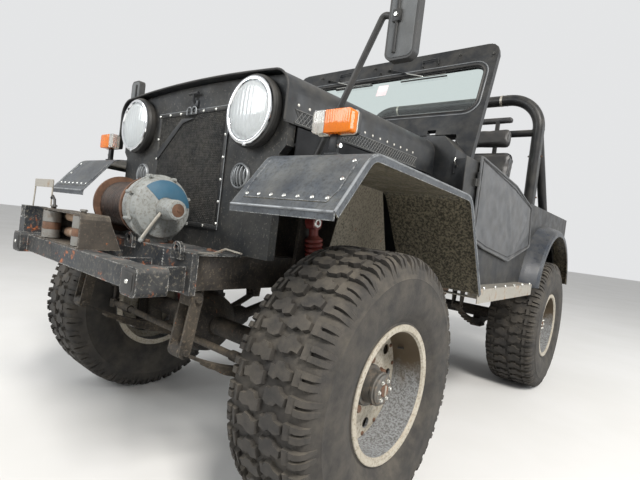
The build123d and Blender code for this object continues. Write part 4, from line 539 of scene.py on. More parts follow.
# %% Plain forms
MM = 0.001
ACROSS, AHEAD, UP = (1, 0, 0), (0, -1, 0), (0, 0, 1)      # to the left, forwards, up
BODY_OF = {node: body for body, nodes in frame["record"]["behaviour"]["bodies"].items() for node in nodes}


def at(x, y, z):
    """A point x to the left of the car's middle, y behind its front axle and z above the ground, in mm."""
    return Vector((x * MM, y * MM - AXLE_TO_MIDDLE, z * MM))


class Forms:
    """Closed forms gathered into one mesh, each with its own finish."""

    def __init__(self):
        self.mesh = bmesh.new()
        self.finishes = []

    def dress(self, faces, finish):
        """Give faces a finish, which the mesh then lists."""
        if finish not in self.finishes:
            self.finishes.append(finish)
        for face in faces:
            face.material_index = self.finishes.index(finish)
        return faces

    def turned(self, profile, centre, axis, finish, steps=32, closed=False):
        """Turn a profile of (distance along the axis, radius) pairs, in mm, about an axis through centre."""
        turn = Vector(axis).to_track_quat("Z", "Y").to_matrix()
        rings = []
        for along, radius in profile:
            count = 1 if radius == 0 else steps
            rings.append([self.mesh.verts.new(Vector(centre) + turn @ Vector((
                radius * MM * math.cos(math.tau * i / steps), radius * MM * math.sin(math.tau * i / steps),
                along * MM))) for i in range(count)])
        pairs = list(zip(rings, rings[1:])) + ([(rings[-1], rings[0])] if closed else [])
        faces = []
        for low, high in pairs:
            for i in range(steps):
                loop = [low[i % len(low)], low[(i + 1) % len(low)], high[(i + 1) % len(high)],
                        high[i % len(high)]]
                corners = list(dict.fromkeys(loop))
                if len(corners) > 2:
                    faces.append(self.mesh.faces.new(corners))
        return self.dress(faces, finish)

    def skin(self, rows, finish, ring=False):
        """Join rows of corners, each a closed loop; the end rows are closed by a face, or meet in a ring."""
        faces = []
        for first, second in list(zip(rows, rows[1:])) + ([(rows[-1], rows[0])] if ring else []):
            for i, corner in enumerate(first):
                j = (i + 1) % len(first)
                faces.append(self.mesh.faces.new([corner, first[j], second[j], second[i]]))
        if not ring:
            faces += [self.mesh.faces.new(rows[0][::-1]), self.mesh.faces.new(rows[-1])]
        return self.dress(faces, finish)

    def plate(self, outline, thickness, finish, bevel=0.0, steps=2):
        """A flat outline of points, made thick by a vector; bevel rounds its edges, in mm."""
        low = [self.mesh.verts.new(Vector(point)) for point in outline]
        high = [self.mesh.verts.new(Vector(point) + Vector(thickness)) for point in outline]
        count = len(outline)
        faces = [self.mesh.faces.new(low), self.mesh.faces.new(high[::-1])]
        for i in range(count):
            faces.append(self.mesh.faces.new([low[i], high[i], high[(i + 1) % count], low[(i + 1) % count]]))
        bmesh.ops.recalc_face_normals(self.mesh, faces=faces)
        self.dress(faces, finish)
        if bevel:
            edges = list({edge for face in faces for edge in face.edges})
            made = bmesh.ops.bevel(self.mesh, geom=edges, offset=bevel * MM, segments=steps, affect="EDGES",
                                   profile=0.5, clamp_overlap=True)
            faces = list(dict.fromkeys([face for face in faces if face.is_valid] + made["faces"]))
        return self.dress(faces, finish)

    def block(self, low, high, finish, bevel=0.0, steps=2):
        """A box between two corner points, with rounded edges where bevel is given."""
        low, high = Vector(low), Vector(high)
        outline = [(low.x, low.y, low.z), (high.x, low.y, low.z), (high.x, high.y, low.z),
                   (low.x, high.y, low.z)]
        return self.plate(outline, (0, 0, high.z - low.z), finish, bevel, steps)

    def tile(self, corner, width, height, radius, depth, finish, bevel=1.0, steps=2):
        """An upright plate with round corners, from its low right corner back; all sizes in mm."""
        return self.plate(rounded(corner, ACROSS, UP, width, height, radius), (0, depth * MM, 0), finish,
                          bevel, steps)

    def pipe(self, route, radius, finish, sides=10, ring=False, flat=1.0):
        """A round bar along a list of points; radius is in mm, and flat below 1 makes it an oval."""
        points = [Vector(point) for point in route]
        count = len(points)
        rings = []
        lift = None
        for i, point in enumerate(points):
            before = points[i - 1] if i or ring else point
            after = points[(i + 1) % count] if i < count - 1 or ring else point
            along = (after - before).normalized()
            if lift is None:
                lift = Vector(UP) if abs(along.z) < 0.9 else Vector(ACROSS)
            lift = (lift - along * lift.dot(along)).normalized()
            side = along.cross(lift)
            ways = [side * math.cos(math.tau * k / sides) + lift * flat * math.sin(math.tau * k / sides)
                    for k in range(sides)]
            rings.append([self.mesh.verts.new(point + way * radius * MM) for way in ways])
        return self.skin(rings, finish, ring)

    def mesh_named(self, name, mirrored=False):
        """The forms as mesh data; mirrored adds the same on the car's other side."""
        if mirrored:
            everything = self.mesh.faces[:] + self.mesh.edges[:] + self.mesh.verts[:]
            made = bmesh.ops.duplicate(self.mesh, geom=everything)
            bmesh.ops.scale(self.mesh, vec=(-1, 1, 1), verts=[v for v in made["geom"]
                                                             if isinstance(v, bmesh.types.BMVert)])
        bmesh.ops.recalc_face_normals(self.mesh, faces=self.mesh.faces[:])
        data = bpy.data.meshes.new(name)
        self.mesh.to_mesh(data)
        self.mesh.free()
        for finish in self.finishes:
            data.materials.append(finishes[finish])
        return data

# %% Putting a piece on the car, joining meshes, arcs and outlines
def put(name, data, node_name, replaced=(), sharp=35):
    """Make mesh data a piece of the car that moves with a node's body and may stand for nodes."""
    piece = in_scene(name, data)
    data.shade_smooth()
    data.set_sharp_from_angle(angle=math.radians(sharp))
    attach(piece, BODY_OF[node_name])
    if replaced:
        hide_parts(*replaced)
    return piece


def joined(name, *meshes):
    """Several pieces of mesh data as one, each keeping its own finishes."""
    whole = bmesh.new()
    materials = []
    for data in meshes:
        first = len(whole.faces)
        whole.from_mesh(data)
        whole.faces.ensure_lookup_table()
        slots = [materials.index(m) if m in materials else materials.append(m) or len(materials) - 1
                 for m in data.materials]
        for face in whole.faces[first:]:
            face.material_index = slots[face.material_index] if slots else 0
    data = bpy.data.meshes.new(name)
    whole.to_mesh(data)
    whole.free()
    for material in materials:
        data.materials.append(material)
    return data


def arc(centre, across, up, radius, start, end, steps):
    """Points on an arc in the plane of two directions; radius in mm, angles in degrees."""
    points = []
    for i in range(steps + 1):
        angle = math.radians(start + (end - start) * i / steps)
        way = Vector(across) * math.cos(angle) + Vector(up) * math.sin(angle)
        points.append(Vector(centre) + way * radius * MM)
    return points


def rounded(low_left, across, up, width, height, radius, steps=6):
    """The outline of a rectangle with round corners, as points; sizes in mm."""
    across, up = Vector(across), Vector(up)
    corners = [(width - radius, radius, -90), (width - radius, height - radius, 0),
               (radius, height - radius, 90), (radius, radius, 180)]
    points = []
    for right, high, start in corners:
        centre = Vector(low_left) + across * right * MM + up * high * MM
        points.extend(arc(centre, across, up, radius, start, start + 90, steps))
    return points


# %% [markdown]
# What repeats on this car, such as lugs, studs, screws and rivets, is made by Geometry Nodes. Two trees are
# enough. One turns copies of a shape about an axle, for tyres and bolt circles. The other sets a copy on
# each point that it is given, turned and sized by two attributes of that point. Both end with real mesh
# faces and a finish, so that the finished car holds no instances.

# %% Geometry Nodes trees
def new_tree(name, inputs):
    """A Geometry Nodes tree with named inputs, given as (name, kind of socket) pairs."""
    tree = bpy.data.node_groups.new(name, "GeometryNodeTree")
    tree.interface.new_socket("Geometry", in_out="INPUT", socket_type="NodeSocketGeometry")
    for label, kind in inputs:
        tree.interface.new_socket(label, in_out="INPUT", socket_type="NodeSocket" + kind)
    tree.interface.new_socket("Geometry", in_out="OUTPUT", socket_type="NodeSocketGeometry")
    return tree, add_node(tree, "NodeGroupInput")


def close_tree(tree, entry, copies):
    """Realize the copies, give them the finish that the input names, and lead them out."""
    solid = add_node(tree, "GeometryNodeRealizeInstances", {"Geometry": copies})
    dressed = add_node(tree, "GeometryNodeSetMaterial", {"Geometry": solid.outputs[0],
                                                        "Material": entry.outputs["Finish"]})
    add_node(tree, "NodeGroupOutput", {0: dressed.outputs[0]})
    return tree


def turned_copies_tree():
    """Count copies of a shape, turned about the X axis in equal steps."""
    tree, entry = new_tree("turned_copies", [("Shape", "Object"), ("Count", "Int"), ("Finish", "Material")])
    shape = add_node(tree, "GeometryNodeObjectInfo", {"Object": entry.outputs["Shape"]})
    points = add_node(tree, "GeometryNodePoints", {"Count": entry.outputs["Count"]})
    number = add_node(tree, "GeometryNodeInputIndex")
    step = add_node(tree, "ShaderNodeMath", {0: math.tau, 1: entry.outputs["Count"]}, operation="DIVIDE")
    angle = add_node(tree, "ShaderNodeMath", {0: number.outputs[0], 1: step.outputs[0]}, operation="MULTIPLY")
    turn = add_node(tree, "ShaderNodeCombineXYZ", {"X": angle.outputs[0]})
    copies = add_node(tree, "GeometryNodeInstanceOnPoints", {
        "Points": points.outputs[0], "Instance": shape.outputs["Geometry"], "Rotation": turn.outputs[0]})
    return close_tree(tree, entry, copies.outputs[0])


def copies_on_points_tree():
    """A copy of a shape on each point, turned by its 'turn' and sized by its 'size' attribute."""
    tree, entry = new_tree("copies_on_points", [("Shape", "Object"), ("Finish", "Material")])
    shape = add_node(tree, "GeometryNodeObjectInfo", {"Object": entry.outputs["Shape"]})
    turn = add_node(tree, "GeometryNodeInputNamedAttribute", {"Name": "turn"}, data_type="FLOAT_VECTOR")
    size = add_node(tree, "GeometryNodeInputNamedAttribute", {"Name": "size"}, data_type="FLOAT")
    copies = add_node(tree, "GeometryNodeInstanceOnPoints", {
        "Points": entry.outputs["Geometry"], "Instance": shape.outputs["Geometry"],
        "Rotation": turn.outputs[0], "Scale": size.outputs[0]})
    return close_tree(tree, entry, copies.outputs[0])


def grow(name, tree, values, start=None):
    """Run a tree once and keep what it makes as plain mesh data."""
    seed = in_scene(name + "_seed", start or bpy.data.meshes.new(name + "_seed"))
    shapes = []
    modifier = seed.modifiers.new("grow", "NODES")
    modifier.node_group = tree
    for item in tree.interface.items_tree:
        if item.in_out == "INPUT" and item.name in values:
            value = values[item.name]
            if isinstance(value, bpy.types.Mesh):
                value = in_scene(name + "_shape", value)
                shapes.append(value)
            modifier[item.identifier] = value
    grown = evaluated(seed)
    grown.name = name
    for helper in [seed] + shapes:
        bpy.data.objects.remove(helper)
    return grown


turned_copies = turned_copies_tree()
copies_on_points = copies_on_points_tree()


def set_out(name, shape, places, finish):
    """Copies of a shape at places, each (point, the way its Z axis faces, size)."""
    points = bpy.data.meshes.new(name + "_points")
    points.from_pydata([tuple(place[0]) for place in places], [], [])
    points.attributes.new("turn", "FLOAT_VECTOR", "POINT")
    points.attributes.new("size", "FLOAT", "POINT")
    turn, size = points.attributes["turn"], points.attributes["size"]
    for i, (point, facing, scale) in enumerate(places):
        turn.data[i].vector = Vector(facing).to_track_quat("Z", "Y").to_euler()
        size.data[i].value = scale
    return grow(name, copies_on_points, {"Shape": shape, "Finish": finishes[finish]}, points)


print("trees", turned_copies.name, copies_on_points.name)

# %% [markdown]
# The tyres are the largest thing in the picture. Each is a smooth casing with about 250 rubber lugs on it.
# A picture of a tread would look flat at this distance, so the lugs are real: one pitch of the pattern is
# cut as blocks with sloped flanks and then turned round the casing 21 times. Across the middle the blocks
# are crooked and hook into each other, and at each shoulder long and short lugs take turns.

# %% Tyres
WHEEL_NAMES = ("front_left", "front_right", "rear_left", "rear_right")
PITCHES = 21
tyre_low, tyre_high, _ = box_of("tyre_front_left")
TYRE_RADIUS = (tyre_high.z - tyre_low.z) / 2 / MM
PITCH = math.tau * TYRE_RADIUS / PITCHES
CASING = [                        # from the bead to the middle of the tread: (across, radius) in mm
    (105, 191), (126, 191), (130, 200), (127, 213), (131, 220), (138, 232), (140, 238), (143, 242),
    (147, 262), (149.5, 290), (149.5, 318), (147, 340), (148, 346), (145, 350), (141, 366), (134, 382),
    (124, 393), (104, 400), (60, 401), (0, 401.5)]
SHOULDER = CASING[13:]            # the part of the casing that carries tread
CROWN = [(0, 415), (90, 415), (118, 411), (130, 402), (138, 388), (143, 366), (146, 350)]
CENTRE_BLOCKS = [                 # corners as (across, around) in mm
    [(5, 8), (20, 0), (44, 3), (52, 13), (74, 10), (79, 33), (58, 40), (50, 52), (30, 49), (21, 38), (7, 41)],
    [(3, 66), (26, 60), (36, 70), (58, 64), (77, 72), (75, 93), (54, 97), (45, 110), (24, 107), (17, 94),
     (4, 96)]]
SHOULDER_LUGS = [                 # first and last edge around the tyre, and how far out it reaches, in mm
    (2, 20, 143), (26, 44, 143), (64, 83, 137), (88, 105, 137)]
SHOULDER_JOINS = [(2, 44), (64, 105)]
SUNK = 4                          # how deep a lug's foot is sunk in the casing, in mm
TAPER = 0.93                      # the top of a middle block against its foot


def read_off(table, value):
    """The second number of a table at a value of the first, between its rows."""
    rows = sorted(table)
    for (a, b), (c, d) in zip(rows, rows[1:]):
        if a <= value <= c:
            return b + (d - b) * (value - a) / (c - a)
    return rows[-1][1] if value > rows[-1][0] else rows[0][1]


def on_tyre(across, around, radius):
    """A point on the tyre, whose axle runs along X through the origin."""
    angle = around / TYRE_RADIUS
    return Vector((across, radius * math.sin(angle), radius * math.cos(angle))) * MM

# %% Middle blocks, shoulder lugs and one pitch of the pattern
def lug(forms, corners, side, shift):
    """One block: its foot is sunk in the casing and its top is a little smaller, as a mould leaves it."""
    middle = sum((Vector(corner) for corner in corners), Vector((0, 0))) / len(corners)
    foot, top = [], []
    for corner in corners:
        near = middle + (Vector(corner) - middle) * TAPER
        foot.append(on_tyre(side * corner[0], corner[1] + shift, read_off(SHOULDER, corner[0]) - SUNK))
        top.append(on_tyre(side * near.x, near.y + shift, read_off(CROWN, near.x)))
    forms.skin([[forms.mesh.verts.new(point) for point in row] for row in (foot, top)], "tyre_rubber")


def shoulder_lug(forms, start, end, reach, side, shift):
    """A lug that bends over the shoulder, built in strips across the tyre."""
    stops = [84, 104, 118, 130, 137, reach] if reach > 138 else [84, 104, 118, 130, reach]
    stops = [stop for stop in stops if stop >= 104] if end - start < 30 else stops[:2]
    rows = []
    for number, stop in enumerate(stops):
        draft = 1.5 if number < len(stops) - 1 else 3.0
        top = read_off(CROWN, stop) - (0.0 if number < len(stops) - 1 else 6.0)
        foot = read_off(SHOULDER, stop) - SUNK
        points = [(start, foot), (start + draft, top), (end - draft, top), (end, foot)]
        rows.append([forms.mesh.verts.new(on_tyre(side * stop, around + shift, radius))
                     for around, radius in points])
    forms.skin(rows, "tyre_rubber")


def tread_pitch():
    """One pitch of the pattern, both halves; the second half is shifted round by a quarter pitch."""
    forms = Forms()
    for side, shift in ((1, 0.0), (-1, PITCH / 4)):
        for corners in CENTRE_BLOCKS:
            lug(forms, corners, side, shift)
        for start, end, reach in SHOULDER_LUGS:
            shoulder_lug(forms, start, end, reach, side, shift)
        for start, end in SHOULDER_JOINS:
            shoulder_lug(forms, start, end, 104, side, shift)
    return forms.mesh_named("tread_pitch")

# %% Casing, and the four tyres
def make_tyre():
    """Casing and lugs as one mesh, standing on an axle through the origin."""
    forms = Forms()
    outside = [(-across, radius) for across, radius in CASING] + CASING[-2::-1]
    inside = [(100, 196), (118, 228), (134, 280), (134, 330), (112, 380)]
    loop = outside + [(across, radius) for across, radius in inside] + [(-a, r) for a, r in inside[::-1]]
    forms.turned(loop, (0, 0, 0), ACROSS, "tyre_rubber", steps=126, closed=True)
    casing = forms.mesh_named("casing")
    treads = grow("treads", turned_copies, {"Shape": tread_pitch(), "Count": PITCHES,
                                            "Finish": finishes["tyre_rubber"]})
    return joined("tyre", casing, treads)


tyre_mesh = make_tyre()
for corner in WHEEL_NAMES:
    node = "tyre_" + corner
    mesh = tyre_mesh.copy()
    mesh.transform(Matrix.Translation(box_of(node)[2]))
    put("mud_" + node, mesh, node, [node])
print("triangles in a tyre", sum(len(p.vertices) - 2 for p in tyre_mesh.polygons))

# %% [markdown]
# The wheels of the model already have their dish, holes and rolled lip. What a turned solid leaves out are
# the small parts that catch the light: a ring of studs that clamps the disc, the wheel nuts and a dark iron
# cover with a dial on the free-wheel hub. Studs, nuts and bolts are small, alike and many, so one head of
# each kind is set out on a circle.

# %% Screw heads, bolt heads and what is bolted to the wheels
def domed_head(radius, height, finish):
    """A domed screw head whose foot is sunk a little in what it holds."""
    forms = Forms()
    forms.turned([(-0.6, 0), (-0.6, radius), (height * 0.35, radius), (height * 0.8, radius * 0.7),
                  (height, 0)], (0, 0, 0), UP, finish, steps=10)
    return forms.mesh_named("domed_head")


def hex_head(across, height, finish):
    """A hexagon head on a thin washer, with chamfered corners."""
    forms = Forms()
    forms.turned([(-0.6, 0), (-0.6, across * 0.72), (1.4, across * 0.72), (1.4, 0)], (0, 0, 0), UP, finish,
                 steps=14)
    corners = arc((0, 0, 0), ACROSS, (0, 1, 0), across * 0.57, 0, 300, 5)
    forms.plate(corners, (0, 0, height * MM), finish, bevel=across * 0.05, steps=1)
    return forms.mesh_named("hex_head")


def circle_of(middle, axis, radius, count, start=0.0):
    """Count places on a circle round an axis, each facing along it."""
    turn = Vector(axis).to_track_quat("Z", "Y").to_matrix()
    places = []
    for i in range(count):
        angle = math.radians(start) + math.tau * i / count
        spot = turn @ Vector((radius * math.cos(angle), radius * math.sin(angle), 0)) * MM
        places.append((Vector(middle) + spot, axis, 1.0))
    return places


AXLE_Z, REAR_AXLE_Y = 415.0, 2030.0
STUD_FACE, DISC_FACE, HUB_FACE, DIAL_FACE = 686.0, 700.0, 763.5, 767.0     # planes across the car, in mm
STUD_CIRCLE, NUT_CIRCLE, BOLT_CIRCLE = 174.0, 79.0, 30.0                    # radii, in mm
HUB_COVER = [(-2, 0), (-2, 64), (13, 64), (15.5, 62), (15.5, 52), (40, 48.5), (43, 51), (51, 51), (54, 47),
             (59, 46), (63.5, 40), (63.5, 0)]
WHEEL_PLACES = {"front_left": (1, 0.0), "front_right": (-1, 0.0), "rear_left": (1, REAR_AXLE_Y),
                "rear_right": (-1, REAR_AXLE_Y)}


def wheel_fittings(side, y):
    """One wheel's studs, nuts, hub cover with its dial and bolts, and valve."""
    out = (side, 0, 0)
    studs = set_out("studs", domed_head(7.0, 5.0, "rusty_iron"),
                    circle_of(at(side * STUD_FACE, y, AXLE_Z), out, STUD_CIRCLE, 16, 11.0), "rusty_iron")
    nuts = set_out("nuts", hex_head(21.0, 16.0, "rusty_iron"),
                   circle_of(at(side * DISC_FACE, y, AXLE_Z), out, NUT_CIRCLE, 5, 18.0), "rusty_iron")
    bolts = set_out("hub_bolts", hex_head(9.0, 6.0, "bright_zinc"),
                    circle_of(at(side * HUB_FACE, y, AXLE_Z), out, BOLT_CIRCLE, 6, 0.0), "bright_zinc")
    forms = Forms()
    start = at(side * DISC_FACE, y, AXLE_Z)
    forms.turned(HUB_COVER, start, out, "hub_iron", steps=32)
    forms.turned([(62, 0), (62, 20), (67, 18), (68, 0)], start, out, "rusty_iron", steps=24)
    lever = at(side * DIAL_FACE, y, AXLE_Z)
    forms.block(lever + Vector((-0.002, -0.004, -0.016)), lever + Vector((0.003, 0.004, 0.016)),
                "step_aluminium", bevel=1.5)
    valve = at(side * 716, y + 142, AXLE_Z + 98)
    forms.pipe([valve, valve + Vector((side * 0.02, 0.003, 0.002))], 4.0, "black_rubber", sides=8)
    return joined("wheel_fittings", forms.mesh_named("hub"), studs, nuts, bolts)


for corner, (side, y) in WHEEL_PLACES.items():
    put("wheel_fittings_" + corner, wheel_fittings(side, y), "wheel_" + corner)
print("wheel fittings", len(WHEEL_PLACES))

# %% [markdown]
# The front panel carries a screen of dark woven wire behind a riveted frame. A printed pattern would show no
# depth, so the wires are real: one small cell of four wavy wires is repeated over the whole screen. A blank
# plate lies across its upper corner, and a catch and a wire bail hold the hood down above it.

# %% Woven screen, its frame, plate and catch
PANEL_FACE = -262.0
SCREEN = {"half": 220.0, "low": 827.0, "top": 1240.0, "front": -266.0}
CELL = 12.0


def weave_cell():
    """Two wires each way, over and under one another, for one cell of the screen."""
    forms = Forms()
    wave = 1.1
    for row in (0, 1):
        for along, other in ((ACROSS, UP), (UP, ACROSS)):
            sign = (1 if row == 0 else -1) * (1 if along[0] else -1)
            forms.pipe([(Vector(other) * row * CELL / 2 + Vector(along) * step * CELL / 2
                         + Vector((0, 1, 0)) * wave * sign * (1 if step % 2 == 0 else -1)) * MM
                        for step in range(3)], 1.15, "panel_black", sides=4)
    return forms.mesh_named("weave_cell")

# %% The whole screen
def screen_piece():
    """Wires, a dark sheet behind them as painted shade, the frame with a painted highlight on two edges, and
    what is screwed to it.
    """
    half, low, top, front = (SCREEN[key] for key in ("half", "low", "top", "front"))
    across = int((2 * half - 16) / CELL)
    up = int((top - low - 16) / CELL)
    points = [(at(-across * CELL / 2 + i * CELL, front + 1.9, low + 9 + j * CELL), UP, 1.0)
              for i in range(across) for j in range(up)]
    wires = set_out("wires", weave_cell(), points, "panel_black")
    forms = Forms()
    # A dark sheet behind the wires: painted shade of the space behind the screen.
    forms.block(at(-half, front + 3.4, low), at(half, front + 4.0, top), "black_plastic")
    wide = 15.0
    for x0, x1, z0, z1 in ((-half, half, top - wide, top), (-half, half, low, low + wide),
                           (-half, -half + wide, low + wide, top - wide),
                           (half - wide, half, low + wide, top - wide)):
        forms.block(at(x0, front - 0.8, z0), at(x1, front + 3.6, z1), "panel_black", bevel=0.6, steps=1)
    # A bright line on the frame's top and left edges only: a painted highlight.
    forms.pipe([at(-half, front, top), at(half - 12, front, top), at(half, front, top - 12),
                at(half, front, low)], 1.6, "fender_lip", sides=6)
    plate = [at(-208, front - 3.2, 1062), at(-208, front - 3.2, 1098), at(-58, front - 3.2, 1213),
             at(22, front - 3.2, 1210), at(-48, front - 3.2, 1196)]
    forms.plate(plate, (0, 0.0028, 0), "black_enamel", bevel=0.8)
    catch = at(12, PANEL_FACE, 1262)
    forms.block(catch + Vector((-0.02, -0.006, -0.012)), catch + Vector((0.02, 0.001, 0.012)), "black_enamel",
                bevel=1.5)
    forms.pipe([at(12, -266, 1262), at(12, -272, 1268), at(12, -274, 1296)], 4.0, "black_enamel")
    forms.pipe([at(-16, -274, 1297), at(40, -274, 1297)], 5.0, "black_enamel")
    for side in (-1, 1):
        middle = at(5 + side * 15, -271, 1236)
        hump = arc(middle, ACROSS, UP, 14, 0, 180, 12)
        forms.pipe([hump[0] - Vector((0, 0, 0.012))] + hump + [hump[-1] - Vector((0, 0, 0.012))], 2.6,
                   "fender_lip", sides=8)
    forms.block(at(-28, -270, 1222), at(38, -265.5, 1231), "black_enamel", bevel=1.0)
    rows = [(at(-215 + 72 * i, front - 0.8, top - wide / 2 - 0.5), AHEAD, 1.0) for i in range(7)]
    for side in (-1, 1):
        rows += [(at(side * (half - wide / 2), front - 0.8, z), AHEAD, 1.0)
                 for z in (1143, 1068, 994, 920, 848)]
    rows += [(at(x, front - 0.8, low + wide / 2), AHEAD, 1.0) for x in (-140, -47, 47, 140)]
    screws = set_out("screws", domed_head(5.2, 3.2, "bright_zinc"), rows, "bright_zinc")
    return joined("woven_screen", wires, forms.mesh_named("screen_frame"), screws)


screen = screen_piece()
put("woven_screen", screen, "grille_mesh", ["grille_mesh"], sharp=50)
print("triangles in the screen", sum(len(p.vertices) - 2 for p in screen.polygons))

# %% [markdown]
# A sealed headlamp is a bright bowl behind a domed glass with pressed ribs, held by a chromed ring. The
# bowl is what shows from any side, so the glass is a real thin shell in front of it, with a small cap over
# the bulb. Pale glass in a dark panel is the first thing that the eye finds on this car.

# %% Headlamps
LAMP_X, LAMP_Z = 357.0, 1201.0


def headlamp_pair():
    """Ring, bowl, bulb cap and glass, on both sides."""
    forms = Forms()
    middle = at(LAMP_X, PANEL_FACE, LAMP_Z)
    forms.turned([(9, 0), (9.5, 20), (12, 44), (17, 66), (25, 84), (31, 94), (33, 96), (31, 98), (22, 90),
                  (13, 70), (8.6, 40), (8.3, 0)], middle, AHEAD, "lamp_bowl", steps=64)
    forms.turned([(30, 98.5), (37, 98.5), (37, 103.5), (41, 102.5), (43.5, 98), (43, 93), (39, 90.5),
                  (36, 91.5), (33, 95)], middle, AHEAD, "chrome", steps=72, closed=True)
    forms.turned([(9.2, 15), (21, 14.5), (27, 11), (29, 0), (9.2, 0)], middle, AHEAD, "chrome", steps=24)
    forms.turned([(37, 91.4), (41, 84), (44.5, 66), (46.8, 40), (48, 0), (45.5, 0), (44.2, 40), (41.8, 66),
                  (38.5, 82), (34.5, 90)], middle, AHEAD, "lamp_glass", steps=64)
    forms.block(at(LAMP_X - 7, PANEL_FACE - 43, LAMP_Z - 108), at(LAMP_X + 7, PANEL_FACE - 30, LAMP_Z - 97),
                "chrome", bevel=1.5)
    return forms.mesh_named("headlamps", mirrored=True)


put("headlamps", headlamp_pair(), "headlamp_lenses", ["headlamp_lenses"], sharp=40)

# %% [markdown]
# The turn signals are moulded boxes whose inner third is clear and the rest amber, with the light coming
# through thick plastic. The round marker lamps hide behind five upright slats that bulge like a helmet's
# visor. Both are cast pieces with plain outlines, so profiles and plates are enough.

# %% Turn signals, marker lamps and tail lamps
SIGNAL = {"inner": 597.0, "outer": 727.0, "low": 1122.0, "top": 1187.0}


def lens_half(forms, x0, x1, sign, finish, y0, y1):
    """A lens between two sides, rounded on the outer or inner side only."""
    low, top = SIGNAL["low"] + 2, SIGNAL["top"] - 2
    round_x, flat_x = (x1, x0) if sign > 0 else (x0, x1)
    radius = 9.0
    outline = [at(flat_x, y0, low)]
    outline += arc(at(round_x - sign * radius, y0, low + radius), (sign, 0, 0), UP, radius, -90, 0, 5)
    outline += arc(at(round_x - sign * radius, y0, top - radius), (sign, 0, 0), UP, radius, 0, 90, 5)
    outline += [at(flat_x, y0, top)]
    forms.plate(outline, (0, (y1 - y0) * MM, 0), finish, bevel=2.5, steps=3)

# %% One side of the car, then its mirror image
def lamp_set():
    """One side's turn signal, marker lamp and tail lamp."""
    forms = Forms()
    inner, outer, low, top = (SIGNAL[key] for key in ("inner", "outer", "low", "top"))
    seam = inner + 42
    lens_half(forms, inner + 1, seam - 0.6, -1, "clear_lens", -275, -246)
    lens_half(forms, seam + 0.6, outer - 1, 1, "amber_lens", -275, -246)
    forms.tile(at(inner, -246, low), outer - inner, top - low, 9, 4, "step_aluminium")
    forms.tile(at(inner + 2, -242, low + 2), outer - inner - 4, top - low - 4, 9, 16, "black_plastic",
               bevel=2.5)
    middle = (inner + outer) / 2
    foot = 1069.0
    forms.block(at(middle - 22, -262, foot), at(middle + 22, -236, foot + 5), "black_enamel", bevel=1.0)
    forms.block(at(middle - 13, -257, foot + 5), at(middle + 13, -241, low + 3), "black_enamel", bevel=3.0)
    forms.turned([(0, 0), (0, 6.5), (9, 6.5), (9, 0)], at(middle + 13, -249, foot + 26), ACROSS,
                 "bright_zinc", steps=6)
    rim = 42.0
    marker = at(311, PANEL_FACE, 1007)
    forms.turned([(0, rim), (7, rim), (10.5, rim - 1.5), (12, rim - 4), (10, rim - 6.5), (5, rim - 7),
                  (0, rim - 7)], marker, AHEAD, "fender_lip", steps=48, closed=True)
    forms.turned([(0.2, 0), (0.2, rim - 6), (4, rim - 6), (6.5, 20), (7.5, 0)], marker, AHEAD, "smoked_lens",
                 steps=40)
    reach = rim - 5
    for step in range(-2, 3):
        x = 13.0 * step
        half = math.sqrt(reach ** 2 - x ** 2)
        profile = [(4, -half), (8, -half)]
        profile += [(8 + 13 * (half / reach) ** 2 * math.sin(math.pi * i / 8) ** 0.7, half * (i - 4) / 4)
                    for i in range(1, 8)]
        profile += [(8, half), (4, half)]
        outline = [marker + Vector((x - 1.6, -out, up)) * MM for out, up in profile]
        forms.plate(outline, (0.0032, 0, 0), "fender_lip", bevel=0.6, steps=1)
    forms.tile(at(560, 2730, 900), 80, 110, 8, 30, "black_plastic", bevel=2.0)
    forms.tile(at(565, 2760, 905), 70, 62, 7, 12, "red_lens", bevel=2.5)
    forms.tile(at(565, 2760, 969), 70, 36, 7, 12, "amber_lens", bevel=2.5)
    return forms.mesh_named("lamps", mirrored=True)


put("lamps", lamp_set(), "signal_lamps", ["signal_lamps"], sharp=40)
print("lamps done")

# %% [markdown]
# The half doors are soft: vinyl stitched round a bent rod and hung on two pins. Cloth that is pulled over a
# rod lies nearly flat, with long creases running slantwise from the corner that carries the weight. The
# sheet is therefore a thin closed form whose outer face is lifted along such lines, and the rod, its sewn
# hem and the hinge eyes are separate hard pieces. The other door is the same, mirrored.

# %% Soft half doors
DOOR_TOP = [(684, 1263), (1243, 1224), (1597, 1142), (1647, 911)]
DOOR_LOW = [(684, 905), (830, 870), (1247, 813), (1647, 911)]
DOOR_LINE = DOOR_TOP + DOOR_LOW[-2::-1]
DOOR_FRONT, DOOR_BEND, DOOR_REAR = 684, 1597, 1647      # where the top line starts, bends down and ends
DOOR_X = 711.0
CREASES = [                       # start and end in (y, z), width and height in mm
    ((1072, 1213), (1306, 851), 20, 5.5), ((1306, 851), (1584, 1156), 22, 4.5),
    ((1306, 851), (1579, 997), 20, 4.0), ((690, 1140), (1072, 1190), 26, 4.0),
    ((833, 1132), (1290, 870), 24, 3.5), ((1422, 977), (1560, 1130), 26, 3.0),
    ((760, 900), (929, 893), 26, 4.5), ((929, 893), (1290, 845), 20, 3.5),
    ((700, 1230), (800, 960), 30, 2.5)]


def crease_height(y, z):
    """How far the vinyl stands out at a place, in mm."""
    spot, height = Vector((y, z)), 0.0
    for start, end, width, lift in CREASES:
        along = Vector(end) - Vector(start)
        share = max(0.0, min(1.0, (spot - Vector(start)).dot(along) / along.length_squared))
        away = (spot - (Vector(start) + along * share)).length
        height += lift * math.exp(-(away / width) ** 2) * math.sin(math.pi * (0.08 + 0.84 * share)) ** 0.6
    return min(height, 5.5) + 0.8 * math.sin(y / 37.0) * math.sin(z / 29.0)


